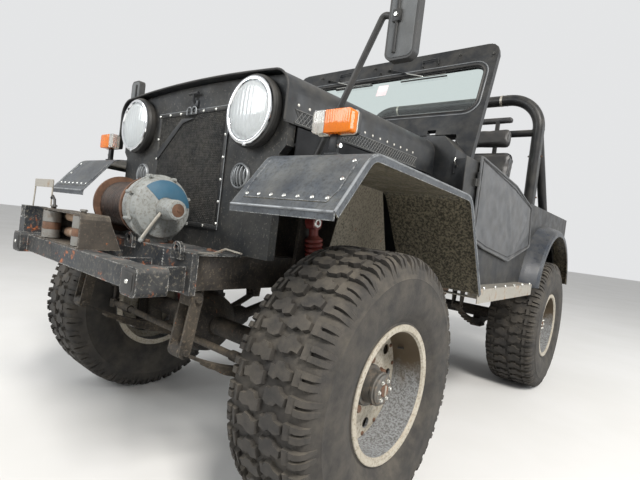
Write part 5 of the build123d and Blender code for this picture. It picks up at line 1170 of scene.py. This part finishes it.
def vinyl_sheet():
    """The left door's vinyl as a thin closed form that follows the door's outline."""
    forms = Forms()
    stops = [DOOR_FRONT + (DOOR_BEND - DOOR_FRONT) * i / 56 for i in range(57)]
    stops += [DOOR_BEND + (DOOR_REAR - DOOR_BEND) * i / 6 for i in range(1, 6)]
    front, back = [], []
    for y in stops:
        top, low = read_off(DOOR_TOP, y), read_off(DOOR_LOW, y)
        rows = ([], [])
        for j in range(25):
            z = low + (top - low) * j / 24
            rim = min(1.0, 4.0 * min(j, 24 - j) / 24 + 0.1, (y - DOOR_FRONT) / 60 + 0.1, (1660 - y) / 60)
            x = DOOR_X + crease_height(y, z) * rim
            rows[0].append(forms.mesh.verts.new(at(x, y, z)))
            rows[1].append(forms.mesh.verts.new(at(x - 2.6, y, z)))
        front.append(rows[0])
        back.append(rows[1])
    faces = []
    for side in (front, back):
        for first, second in zip(side, side[1:]):
            for j in range(24):
                faces.append(forms.mesh.faces.new([first[j], second[j], second[j + 1], first[j + 1]]))
    for i in range(len(stops) - 1):
        for j in (0, 24):
            faces.append(forms.mesh.faces.new([front[i][j], front[i + 1][j], back[i + 1][j], back[i][j]]))
    for i in (0, len(stops) - 1):
        for j in range(24):
            faces.append(forms.mesh.faces.new([front[i][j], front[i][j + 1], back[i][j + 1], back[i][j]]))
    forms.dress(faces, "door_vinyl")
    return forms.mesh_named("door_vinyl")

# %% Rod, hem and hinge eyes
def door_rod():
    """Hem round the rod, stitched seam, strap and hinge eyes of the left door."""
    forms = Forms()
    middle = Vector((1130, 1040))
    for inset, x, radius, finish in ((6.0, DOOR_X, 5.6, "door_vinyl"),
                                     (24.0, DOOR_X + 2.4, 1.3, "black_rubber")):
        route = []
        for i, corner in enumerate(DOOR_LINE):
            before, after = DOOR_LINE[i - 1], DOOR_LINE[(i + 1) % len(DOOR_LINE)]
            spot = Vector(corner) + (middle - Vector(corner)).normalized() * inset * 1.25
            for share, other in ((0.14, before), (0.05, before), (0.05, after), (0.14, after)):
                reach = (Vector(other) - Vector(corner)).length
                step = Vector(other) - Vector(corner)
                near = spot + step * min(share * 200 / reach, 0.4)
                route.append(at(x, near.x, near.y))
        forms.pipe(route, radius, finish, ring=True)
    for z in (960.0, 1160.0):
        forms.turned([(0.3, 4.1), (0.3, 8.0), (30, 8.0), (30, 4.1)], at(713, 672, z), UP, "black_enamel",
                     steps=20, closed=True)
        forms.block(at(709, 680, z + 3), at(715, 702, z + 27), "black_enamel", bevel=1.0)
    return forms.mesh_named("door_rod")

# %% Both doors
def mirror_image(data):
    """The same on the car's other side."""
    data = data.copy()
    data.transform(Matrix.Scale(-1, 4, ACROSS))
    data.flip_normals()
    return data


pairs = zip(DOOR_LINE, DOOR_LINE[1:] + DOOR_LINE[:1])
door_area = abs(sum(a[0] * b[1] - b[0] * a[1] for a, b in pairs)) / 2e6
vinyl, rod_mesh = vinyl_sheet(), door_rod()
for side in ("left", "right"):
    node = "door_" + side
    sheet_mesh, frame_mesh = vinyl, rod_mesh
    if side == "right":
        sheet_mesh, frame_mesh = mirror_image(vinyl), mirror_image(rod_mesh)
    put("door_rod_" + side, frame_mesh, node)
    sheet = put("door_sheet_" + side, sheet_mesh, node, [node], sharp=60)
print("door area", round(door_area, 3), "m2")

# %% [markdown]
# Seats are foam in sewn vinyl. Foam pushes the cover out between its seams, which is what a pressure in a
# cloth simulation does: each pad starts as a slightly small block, is meshed evenly and is blown up for a
# few steps, with a cap on how far any point may move. The seat box, the posts and the welts stay hard.

# %% Seats
PAD_FRAMES = 12
SEAT_X = 350.0                    # middle of a seat from the car's middle, in mm


def swell(data, cap_mm, pressure=4.0):
    """Blow a closed form up a little as cloth, and keep the result as plain mesh data."""
    seed = in_scene("pad_seed", data)
    remesh = seed.modifiers.new("even", "REMESH")
    remesh.mode = "VOXEL"
    remesh.voxel_size = 0.009
    even = evaluated(seed)
    bpy.data.objects.remove(seed)
    rest = [vertex.co.copy() for vertex in even.vertices]
    body = in_scene("pad_cloth", even)
    cloth = body.modifiers.new("cloth", "CLOTH")
    cloth.settings.quality = 4
    cloth.settings.use_pressure = True
    cloth.settings.uniform_pressure_force = pressure
    cloth.settings.effector_weights.gravity = 0.0
    cloth.point_cache.frame_end = PAD_FRAMES
    for number in range(1, PAD_FRAMES + 1):
        bpy.context.scene.frame_set(number)
    done = evaluated(body)
    bpy.data.objects.remove(body)
    bpy.context.scene.frame_set(1)
    for vertex, old in zip(done.vertices, rest):
        move = vertex.co - old
        if move.length > cap_mm * MM:
            vertex.co = old + move.normalized() * cap_mm * MM
    return done

# %% Four pads for each seat
def pad_block(low_left, across, up, out, size, radius):
    """A block of foam: size is (width, height, depth) in mm, along across, up and out."""
    width, height, depth = size
    forms = Forms()
    forms.plate(rounded(low_left, across, up, width, height, radius, steps=5), Vector(out) * depth * MM,
                "seat_vinyl", bevel=min(18.0, depth * 0.3), steps=3)
    return forms.mesh_named("pad")


BACK_UP = Vector((0, 95, 465)).normalized()
BACK_OUT = Vector((0, -BACK_UP.z, BACK_UP.y))
HEAD_UP = Vector((0, 18, 118)).normalized()
HEAD_OUT = Vector((0, -HEAD_UP.z, HEAD_UP.y))
PADS = {                          # low left corner, up, out, size, corner radius, cap
    "cushion": ((-232, 1537, 906), AHEAD, UP, (464, 474, 96), 46, 9.0),
    "back": ((-218, 1545, 1012), BACK_UP, BACK_OUT, (436, 458, 74), 40, 8.0),
    "head_pad": ((-174, 1646, 1514), HEAD_UP, HEAD_OUT, (348, 108, 54), 22, 6.0),
    "bar_pad": ((-176, 1652, 1671), UP, AHEAD, (352, 31, 37), 12, 3.0),
}
for name, (corner, up, out, size, radius, cap) in PADS.items():
    shape = swell(pad_block(at(*corner), ACROSS, up, out, size, radius), cap)
    shape.materials.clear()
    shape.materials.append(finishes["seat_vinyl"])
    for side, x in (("left", SEAT_X), ("right", -SEAT_X)):
        mesh = shape.copy()
        mesh.transform(Matrix.Translation((x * MM, 0, 0)))
        piece = put("seat_" + name + "_" + side, mesh, "seats", sharp=80)

# %% What the pads lie on
def seat_frames():
    """The boxes under the cushions, the head pads' posts, and welts round the cushions and backs."""
    forms = Forms()
    for x in (-SEAT_X, SEAT_X):
        forms.block(at(x - 195, 1105, 782), at(x + 195, 1475, 905), "hoop_black", bevel=4.0)
        for post in (-90, 90):
            forms.block(at(x + post - 12, 1614, 1440), at(x + post + 12, 1632, 1690), "hoop_black", bevel=2.0)
        for z in (908, 1002):
            loop = rounded(at(x - 235, 1060, z), ACROSS, (0, 1, 0), 470, 480, 50)
            forms.pipe(loop, 3.0, "seat_vinyl", sides=8, ring=True)
        low_left = at(x - 222, 1474, 1008)
        forms.pipe(rounded(low_left, ACROSS, BACK_UP, 444, 466, 44), 3.0, "seat_vinyl", sides=8, ring=True)
    return forms.mesh_named("seat_frames")


put("seat_frames", seat_frames(), "seats", ["seats"])
print("seat pads", 2 * len(PADS))

# %% [markdown]
# The winch drum carries a tight layer of dark rope. The rope is one long tube that winds like the thread of
# a screw, because its grooves are what the light picks out. The case has a bolt on each ear, a blank blue
# sector where a label was, a rust-brown shaft end and a thin lever that frees the drum.

# %% Winch rope, case and shaft end
WINCH_Y, WINCH_Z = -405.0, 875.0
ROPE_START, ROPE_END, ROPE_RADIUS = -158.0, 23.0, 5.6
ROPE_TURNS = (ROPE_END - ROPE_START) / (2 * ROPE_RADIUS + 0.6)


def rope_coil():
    """Rope wound on the drum: an inner sleeve and one layer of turns over it."""
    forms = Forms()
    steps = int(ROPE_TURNS * 28)
    route = []
    for i in range(steps + 1):
        angle = math.tau * ROPE_TURNS * i / steps
        radius = 74.0 + 0.5 * math.sin(angle * 0.31)
        route.append(at(ROPE_START + (ROPE_END - ROPE_START) * i / steps, WINCH_Y + radius * math.cos(angle),
                        WINCH_Z + radius * math.sin(angle)))
    forms.pipe(route, ROPE_RADIUS, "rope", sides=8)
    forms.turned([(-163, 46), (-163, 71), (28, 71), (28, 46)], at(0, WINCH_Y, WINCH_Z), ACROSS, "rope",
                 steps=36, closed=True)
    return forms.mesh_named("rope_coil")


put("rope_coil", rope_coil(), "winch_rope", ["winch_rope"], sharp=70)
print("rope turns", int(ROPE_TURNS))

# %% Label, shaft end, lever and bolts of the case
def case_label(forms):
    """A sector of paint on the case's coned face, a little proud of it."""
    rings = [(123.4, 91.0), (128.6, 76.0), (133.4, 61.0), (135.4, 37.0)]
    rows = []
    for i in range(25):
        angle = math.radians(8 + 128 * i / 24)
        way = Vector((0, math.cos(angle), math.sin(angle)))
        rows.append([forms.mesh.verts.new(at(x + lift, WINCH_Y, WINCH_Z) + way * radius * MM)
                     for lift, ring in ((0.9, rings), (-1.0, rings[::-1])) for x, radius in ring])
    forms.skin(rows, "blue_label")


def winch_fittings():
    """Label, shaft end, lever knob, ribs and cover bolts of the winch."""
    forms = Forms()
    case_label(forms)
    middle = at(0, WINCH_Y, WINCH_Z)
    forms.turned([(150, 29), (150, 33), (198, 32.5), (206, 30), (207, 26), (203, 24), (150, 24)], middle,
                 ACROSS, "winch_grey", steps=36, closed=True)
    forms.turned([(200, 0), (200, 24.5), (207, 23.5), (208.4, 20), (208.4, 0)], middle, ACROSS, "rusty_iron",
                 steps=32)
    forms.turned([(208, 0), (208, 5), (210.5, 4), (211, 0)], middle, ACROSS, "rusty_iron", steps=14)
    knob = at(124, -470, 772)
    forms.turned([(-8, 0), (-7, 5), (-3, 7.6), (2, 7.8), (6, 5.5), (8, 0)], knob, (0.3, 0.4, 1), "winch_grey",
                 steps=16)
    forms.pipe([at(158, -433, 862), at(140, -452, 818), at(126, -469, 778)], 5.6, "step_aluminium", sides=8)
    forms.turned([(84, 101), (84, 108), (97, 108), (97, 101)], middle, ACROSS, "winch_grey", steps=72,
                 closed=True)
    bolts = set_out("case_bolts", hex_head(9.0, 5.0, "winch_grey"),
                    circle_of(at(102.6, WINCH_Y, WINCH_Z), ACROSS, 106.0, 8, 22.5), "winch_grey")
    feet = set_out("foot_bolts", hex_head(15.0, 9.0, "rusty_iron"), [
        (at(x, y, 766.4), UP, 1.0) for x in (118, -214) for y in (-446, -364)], "rusty_iron")
    return joined("winch_fittings", forms.mesh_named("winch_forms"), bolts, feet)


put("winch_fittings", winch_fittings(), "winch_housing")
print("winch done")

# %% [markdown]
# The rope leaves through four rollers. They are plain tubes, upright ones grey with a rusty band where the
# rope rubs and level ones beige, so a thin sleeve of the right finish over each solid is all they need. The
# wire loop beside them carried a number plate; here its flat strip is blank.

# %% Fairlead rollers, plate wire and the bumper's fittings
def fairlead_sleeves():
    """Sleeves and end washers on the four rollers, and the wire loop for a plate."""
    forms = Forms()
    for x in (10, -242):
        foot = at(x, -597, 0)
        for profile, finish in (
                ([(734.5, 10), (734.5, 27), (762, 27.1), (762, 26.4), (734.5, 26.2)], "roller_steel"),
                ([(762, 26.2), (764, 27.1), (784, 27.1), (786, 26.2)], "rusty_iron"),
                ([(787, 26.2), (788, 27.1), (822, 27.1), (823.5, 25), (823.5, 10)], "roller_steel")):
            forms.turned(profile, foot, UP, finish, steps=40, closed=True)
        forms.turned([(839, 0), (839, 11), (843, 11), (845, 8), (845, 0)], foot, UP, "roller_steel", steps=6)
    for z in (758, 812):
        forms.turned([(-211, 16), (-211, 17), (-20, 17), (-20, 16)], at(0, -552, z), ACROSS, "roller_beige",
                     steps=32, closed=True)
    y = -600
    for radius, finish, route in (
            (2.6, "step_aluminium", [(-446, 752), (-446, 815), (-437, 880), (-434, 925)]),
            (2.6, "step_aluminium", [(-262, 838), (-262, 860), (-260, 925)]),
            (4.4, "black_enamel", [(-224, 838), (-232, 862), (-252, 874), (-262, 866)])):
        forms.pipe([at(x, y, z) for x, z in route], radius, finish, sides=8)
    forms.block(at(-438, y - 2.6, 902), at(-256, y + 0.6, 930), "step_aluminium", bevel=0.8, steps=1)
    return forms.mesh_named("fairlead_sleeves")


put("fairlead_sleeves", fairlead_sleeves(), "fairlead")

# %% Welds and what is bolted to the bumper
def weld_bead(forms, route, radius, finish):
    """A weld seam: small overlapping drops along a line between two points."""
    start, end = (Vector(point) for point in route)
    count = max(2, int((end - start).length / (radius * 1.5 * MM)))
    for i in range(count + 1):
        spot = start.lerp(end, i / count)
        spot += Vector((random.uniform(-1, 1), 0, random.uniform(-1, 1))) * 0.0006
        forms.turned([(-radius * 0.4, 0), (-radius * 0.2, radius), (radius * 0.35, radius * 0.7),
                      (radius * 0.55, 0)], spot, AHEAD, finish, steps=8)


def bumper_fittings():
    """Welds, plugs in the receivers' mouths, bolts and a bent bracket on the bumper."""
    forms = Forms()
    for x in (252, -255):
        weld_bead(forms, (at(x, -465, 756), at(x, -465, 662)), 5.5, "bumper_black")
    for x in (-422.5, 422.5):
        forms.tile(at(x - 33, -647, 669), 66, 60, 9, 4, "black_plastic", bevel=1.5)
        forms.tile(at(x - 25, -649, 677), 50, 44, 5, 3, "black_plastic", bevel=0.8)
        forms.turned([(0, 0), (0, 6), (2.5, 5), (3, 0)], at(x, -649, 699), AHEAD, "bright_zinc", steps=12)
    bracket = [at(395, -440, 767), at(470, -448, 776), at(505, -440, 792), at(548, -425, 786)]
    forms.pipe(bracket, 7.0, "step_aluminium", sides=8, flat=0.35)
    for x in (-300, -120, 120, 300):
        forms.turned([(0, 0), (0, 10), (2, 10), (2, 8), (6, 7), (6, 0)], at(x, -342, 766), UP, "rusty_iron",
                     steps=6)
    forms.block(at(-375, -512, 736), at(-315, -470, 766), "roller_beige", bevel=3.0)
    return forms.mesh_named("bumper_fittings")


put("bumper_fittings", bumper_fittings(), "front_bumper")
print("bumper done")

# %% [markdown]
# Each front fender is a bent sheet with a pressed bead just inside its edge, a row of bright screws along
# the front and a silver lip that is partly polished by boots and partly a painted highlight of the rolled
# edge. The bead is a thin raised tube that follows the bends of the sheet, so it needs the fender's own side
# line, which is repeated here with its rounded bends.

# %% Fender beads, screws and lips
FENDER_SIDE = [(-423, 912), (-303, 1065), (332, 1047), (549, 694)]
FENDER_IN, FENDER_OUT, FENDER_BEND = 478.0, 827.0, 60.0


def fender_route(inset_start, inset_end, lift):
    """Points (y, z) along the fender's upper side, with its bends rounded, lifted off it in mm."""
    line = [Vector(point) for point in FENDER_SIDE]
    line[0] += (line[1] - line[0]).normalized() * inset_start
    line[-1] += (line[-2] - line[-1]).normalized() * inset_end
    route = [line[0]]
    for before, corner, after in zip(line, line[1:], line[2:]):
        reach = FENDER_BEND * 0.8
        first = corner + (before - corner).normalized() * reach
        last = corner + (after - corner).normalized() * reach
        for i in range(9):
            share = i / 8
            route.append(first.lerp(corner, share).lerp(corner.lerp(last, share), share))
    route.append(line[-1])
    lifted = []
    for i, point in enumerate(route):
        along = (route[min(i + 1, len(route) - 1)] - route[max(i - 1, 0)]).normalized()
        lifted.append(point + Vector((-along.y, along.x)) * lift)
    return lifted

# %% Both fenders
def fender_fittings():
    """Bead, screws and silver edge of the left fender, worn metal and a painted highlight, then the same on
    the right.
    """
    forms = Forms()
    inner, outer = FENDER_IN + 22, FENDER_OUT - 26
    route = fender_route(26, 20, 0.2)
    near = [at(inner, *point) for point in route]
    far = [at(outer, *point) for point in route[::-1]]
    corner = Vector((0.012, 0, 0))
    turns = [near[0].lerp(near[1], 0.3), near[0] + corner, far[-1] - corner, far[-1].lerp(far[-2], 0.3)]
    forms.pipe(near[:0:-1] + turns + far[-2::-1], 2.4, "fender_grey", sides=8)
    # Silver pipes along the outer edge and the front: worn metal, and a painted highlight of the rolled edge.
    edge = fender_route(0, 0, -1.5)
    forms.pipe([at(FENDER_OUT - 1.5, *point) for point in edge], 3.2, "fender_lip", sides=8)
    forms.pipe([at(FENDER_IN + 2, *edge[0]), at(FENDER_OUT - 2, *edge[0])], 3.6, "fender_lip", sides=8)
    first, second = Vector(FENDER_SIDE[0]), Vector(FENDER_SIDE[1])
    slope = (second - first).normalized()
    facing = (0, -slope.y, slope.x)
    spot = first + slope * 38
    rows = [(at(inner + 14 + 45 * i, spot.x, spot.y), facing, 1.0) for i in range(7)]
    rows += [(at(outer - 12, *(first + slope * reach)), facing, 1.0) for reach in (100, 162)]
    screws = set_out("fender_screws", domed_head(5.6, 3.4, "bright_zinc"), rows, "bright_zinc")
    left = joined("fender_fittings", forms.mesh_named("fender_forms"), screws)
    return joined("fender_fittings", left, mirror_image(left))


put("fender_fittings", fender_fittings(), "front_fenders")
print("fenders done")

# %% [markdown]
# The windshield frame is flat steel and carries many small things: a rubber seal that shows as two lines
# round the glass, two wipers hung from above, wire brackets, hooks for a soft top and a blank sticker. All
# are placed in the frame's own leaning plane, across it and up its slope, so that they fold down with it.

# %% Windshield: seal, wipers, brackets, hooks and sticker
WIND_RAKE = math.radians(18.2)
WIND_UP = Vector((0, math.sin(WIND_RAKE), math.cos(WIND_RAKE)))
WIND_OUT = Vector((0, -math.cos(WIND_RAKE), math.sin(WIND_RAKE)))
WIND_BASE = at(0, 780.5, 1360)
GLASS_HALF, GLASS_LOW, GLASS_HIGH, GLASS_CORNER = 600, 146, 262, 56      # the frame's opening, in mm


def on_wind(x, along, out=15.0):
    """A point on the windshield: across, up its slope, and out of its middle plane, in mm."""
    return WIND_BASE + Vector((x, 0, 0)) * MM + WIND_UP * along * MM + WIND_OUT * out * MM

# %% Wipers and wire brackets
def wiper(forms, pivot, elbow, blade):
    """A pivot, a two part arm and a long thin blade with a bright back."""
    forms.turned([(-1, 0), (-1, 11), (7, 11), (11, 7), (11, 0)], on_wind(*pivot), WIND_OUT, "black_enamel",
                 steps=20)
    forms.pipe([on_wind(*pivot, 24), on_wind(*elbow, 23)], 5.0, "black_enamel", sides=8, flat=0.6)
    (x0, s0), (x1, s1) = blade
    middle = ((x0 + x1) / 2, (s0 + s1) / 2 + 6)
    forms.pipe([on_wind(*elbow, 23), on_wind(*middle, 21)], 3.0, "bright_zinc", sides=8)
    forms.pipe([on_wind(x0, s0 + 5, 18), on_wind(x1, s1 + 5, 18)], 3.4, "bright_zinc", sides=8, flat=0.6)
    forms.pipe([on_wind(x0 - 6, s0 - 1, 10), on_wind(x1 + 6, s1 - 1, 10)], 4.2, "black_rubber", sides=8)


def wire_bracket(forms, corners):
    """A bent wire on four feet."""
    route = [on_wind(*corners[0], 14)] + [on_wind(x, s, 26) for x, s in corners] + [on_wind(*corners[-1], 14)]
    forms.pipe(route, 3.2, "black_enamel", sides=8)
    for corner in corners:
        forms.turned([(0, 0), (0, 8), (3, 7), (3, 0)], on_wind(*corner), WIND_OUT, "black_enamel", steps=12)

# %% Everything on the windshield
def windshield_fittings():
    """Everything on the windshield frame and its glass."""
    forms = Forms()
    for inset, radius, out, finish in ((0, 5.5, 13.5, "black_rubber"), (-17, 3.4, 15.0, "windshield_bead"),
                                       (0, 5.0, -13.5, "black_rubber"), (2, 7.0, 2.4, "black_rubber")):
        loop = rounded(on_wind(-GLASS_HALF + inset, GLASS_LOW + inset, out), ACROSS, WIND_UP,
                       2 * (GLASS_HALF - inset), GLASS_HIGH - 2 * inset, GLASS_CORNER - inset)
        forms.pipe(loop, radius, finish, sides=8, ring=True)
    wiper(forms, (50, 458), (172, 412), ((150, 374), (402, 372)))
    wiper(forms, (-387, 456), (-300, 425), ((-300, 380), (-48, 378)))
    wire_bracket(forms, [(262, 438), (250, 474), (338, 478), (350, 440)])
    wire_bracket(forms, [(-292, 436), (-302, 476), (-214, 480), (-204, 438)])
    for x, s in ((453, 478), (624, 452), (-52, 484), (-4, 440), (-449, 478), (-624, 452)):
        forms.pipe([on_wind(x, s + 6, 14), on_wind(x, s + 6, 24), on_wind(x, s - 8, 25)], 3.0,
                   "black_enamel", sides=8)
        forms.turned([(0, 0), (0, 7), (3, 6), (3, 0)], on_wind(x, s + 6), WIND_OUT, "black_enamel", steps=12)
    forms.plate(rounded(on_wind(0, 303, 2.7), ACROSS, WIND_UP, 66, 68, 4), WIND_OUT * 0.0005, "pale_label")
    forms.pipe([on_wind(-600, 522, 8), on_wind(600, 522, 8)], 4.0, "black_rubber", sides=8)
    return forms.mesh_named("windshield_fittings")


put("windshield_fittings", windshield_fittings(), "windshield_frame")
print("windshield done")

# %% [markdown]
# The hood's front edge has a rubber lip, and a strip of expanded metal with a row of pale rivets runs along
# its lower sides to let heat out. The strip follows the hood as it widens to the rear. A wire catch with a
# coil spring on the cowl holds the hood down at its rear corner.

# %% Hood lip, vent strips and catches
HOOD_FRONT, HOOD_REAR, HOOD_NARROW, HOOD_WIDE, HOOD_TOP = -288.0, 575.0, 503.0, 548.0, 1334.0
CROWN_HALF, CROWN_RISE = 437.0, 17.0      # the hood's top is an arc: half its chord, and its rise


def beside_hood(side, y, z, out=0.0):
    """A point out mm beside the hood, which widens to the rear."""
    half = HOOD_NARROW + (HOOD_WIDE - HOOD_NARROW) * (y - HOOD_FRONT) / (HOOD_REAR - HOOD_FRONT)
    return at(side * (half + out), y, z)


def hood_fittings():
    """Lip along the front edge, and a vent strip with rivets on each side."""
    forms = Forms()
    edge, bend, half = HOOD_TOP - CROWN_RISE, 66.0, HOOD_NARROW
    crown = (CROWN_HALF ** 2 + CROWN_RISE ** 2) / (2 * CROWN_RISE)
    route = [at(-half, HOOD_FRONT, 1166)]
    route += arc(at(-half + bend, HOOD_FRONT, edge - bend), ACROSS, UP, bend, 180, 90, 10)
    route += [at(x, HOOD_FRONT, HOOD_TOP - crown + math.sqrt(crown ** 2 - x ** 2))
              for x in range(-400, 401, 80)]
    route += arc(at(half - bend, HOOD_FRONT, edge - bend), ACROSS, UP, bend, 90, 0, 10)
    route += [at(half, HOOD_FRONT, 1166)]
    forms.pipe(route, 3.6, "black_rubber", sides=8)
    rivets = []
    for side in (-1, 1):
        low, top, first, last = 1166.0, 1204.0, -250.0, 430.0
        count = 46
        step = (last - first) / count
        for i in range(count):
            y = first + step * i
            for start, end in ((y, y + step * 2), (y + step * 2, y)):
                if max(start, end) <= last:
                    forms.pipe([beside_hood(side, start, low, 1.2), beside_hood(side, end, top, 1.2)], 1.3,
                               "vent_grey", sides=4)
        for z in (low, top):
            forms.pipe([beside_hood(side, y, z, 0.6) for y in (first, last)], 2.2, "vent_grey", sides=6)
        rivets += [(beside_hood(side, -240 + 45.6 * i, 1219), (side, 0, 0), 1.0) for i in range(15)]
    heads = set_out("rivets", domed_head(4.6, 2.6, "pale_rivet"), rivets, "pale_rivet")
    return joined("hood_fittings", forms.mesh_named("hood_forms"), heads)

# %% Catches at the rear corners of the hood
def hood_catch():
    """A wire catch with its coil spring and plate on the cowl's side."""
    forms = Forms()
    forms.block(at(629, 596, 1172), at(634, 668, 1232), "black_enamel", bevel=2.0)
    forms.turned([(0, 0), (0, 9), (9, 9), (9, 0)], at(634, 630, 1202), ACROSS, "bright_zinc", steps=16)
    coil = [at(643 + 6 * math.cos(math.tau * i / 10), 610 + 0.45 * i, 1202 + 6 * math.sin(math.tau * i / 10))
            for i in range(81)]
    forms.pipe(coil, 1.6, "bright_zinc", sides=6)
    forms.pipe([at(643, 606, 1202), at(640, 590, 1210), at(636, 584, 1222), at(636, 592, 1236)], 2.6,
               "bright_zinc", sides=8)
    forms.pipe([at(636, 668, 1196), at(638, 720, 1190), at(638, 768, 1200)], 7.0, "step_aluminium", sides=8,
               flat=0.3)
    return forms.mesh_named("hood_catch", mirrored=True)


put("hood_fittings", hood_fittings(), "hood")
put("hood_catch", hood_catch(), "cowl")

# %% [markdown]
# What is left are small pieces on plain solids: the mirrors' glass and the bar and clamp on their backs, the
# roll bar's weld rings and bolts, the bolts of the steps and the bright eyes of the shock absorbers. The
# bolts are spread over the length of the steps; the others sit at the same millimetres as in the model.

# %% Mirrors
MIRROR_IN, MIRROR_OUT, MIRROR_BAR = 741.0, 827.0, 770.0      # sides of the glass, and the bar, across in mm


def mirror_fittings():
    """Glass to the rear, and a bar with its clamp on the front, for each mirror."""
    forms = Forms()
    for side, y, foot in ((1, -171.0, 1328.0), (-1, -96.0, 1288.0)):
        right, bar = (MIRROR_IN if side > 0 else -MIRROR_OUT), side * MIRROR_BAR
        forms.tile(at(right + 5, y + 13.2, foot + 5), 76, 202, 18, 1.2, "mirror_silver", bevel=0.4, steps=1)
        forms.tile(at(right + 6, y - 15.2, foot + 6), 74, 200, 17, 3, "mirror_back", bevel=1.2)
        forms.pipe([at(bar, y - 18, foot + 18), at(bar, y - 18, foot + 190)], 5.0, "black_enamel")
        forms.block(at(bar - 12, y - 24, foot + 96), at(bar + 12, y - 14, foot + 128), "black_enamel",
                    bevel=2.0)
        forms.turned([(0, 0), (0, 6), (5, 5), (5, 0)], at(bar, y - 24, foot + 112), AHEAD, "bright_zinc",
                     steps=6)
    return forms.mesh_named("mirror_fittings")


put("mirror_fittings", mirror_fittings(), "mirrors")
print("mirrors done")

# %% Roll bar, steps and shock absorbers
HOOP_X, HOOP_Y, HOOP_TOP, HOOP_SKIN = 640, 1790, 1865, 35.6      # the hoop's centre line, and its radius


def roll_bar_fittings():
    """Weld rings, a band clamp and bolts on the hoop."""
    forms = Forms()
    low, high = HOOP_SKIN - 1, HOOP_SKIN + 1
    for centre, axis in ((at(HOOP_X, HOOP_Y, 1660), UP), (at(427, HOOP_Y, HOOP_TOP), ACROSS)):
        forms.turned([(-2, low), (-1.4, high), (1.4, high), (2, low)], centre, axis, "hoop_black", steps=40,
                     closed=True)
    forms.turned([(-7, low), (-7, high), (7, high), (7, low)], at(392, HOOP_Y, HOOP_TOP), ACROSS,
                 "step_aluminium", steps=40, closed=True)
    for z in (1230, 1490):
        forms.pipe([at(HOOP_X - 42, HOOP_Y, z), at(HOOP_X + 42, HOOP_Y, z)], 5.0, "rusty_iron", sides=8)
    return forms.mesh_named("roll_bar_fittings", mirrored=True)


put("roll_bar_fittings", roll_bar_fittings(), "roll_bar")
step_low, step_high, _ = box_of("side_steps")
rows = []
for i in range(6):
    y = step_low.y + 0.06 + (step_high.y - step_low.y - 0.12) * i / 5
    for side in (-1, 1):
        rows.append((Vector((side * step_high.x, y, step_high.z - 0.03)), (side, 0, 0), 1.0))
step_bolts = set_out("step_bolts", hex_head(13.0, 6.0, "bright_zinc"), rows, "bright_zinc")
put("step_bolts", step_bolts, "side_steps")
forms = Forms()
for x in (-425, 425):
    for y, z in ((68, 403), (-20, 890)):
        forms.turned([(-21, 8), (-21, 15), (-18, 17), (18, 17), (21, 15), (21, 8)], at(x, y, z), ACROSS,
                     "bright_zinc", steps=24, closed=True)
put("shock_eyes", forms.mesh_named("shock_eyes"), "shock_absorbers")
print("fittings done")
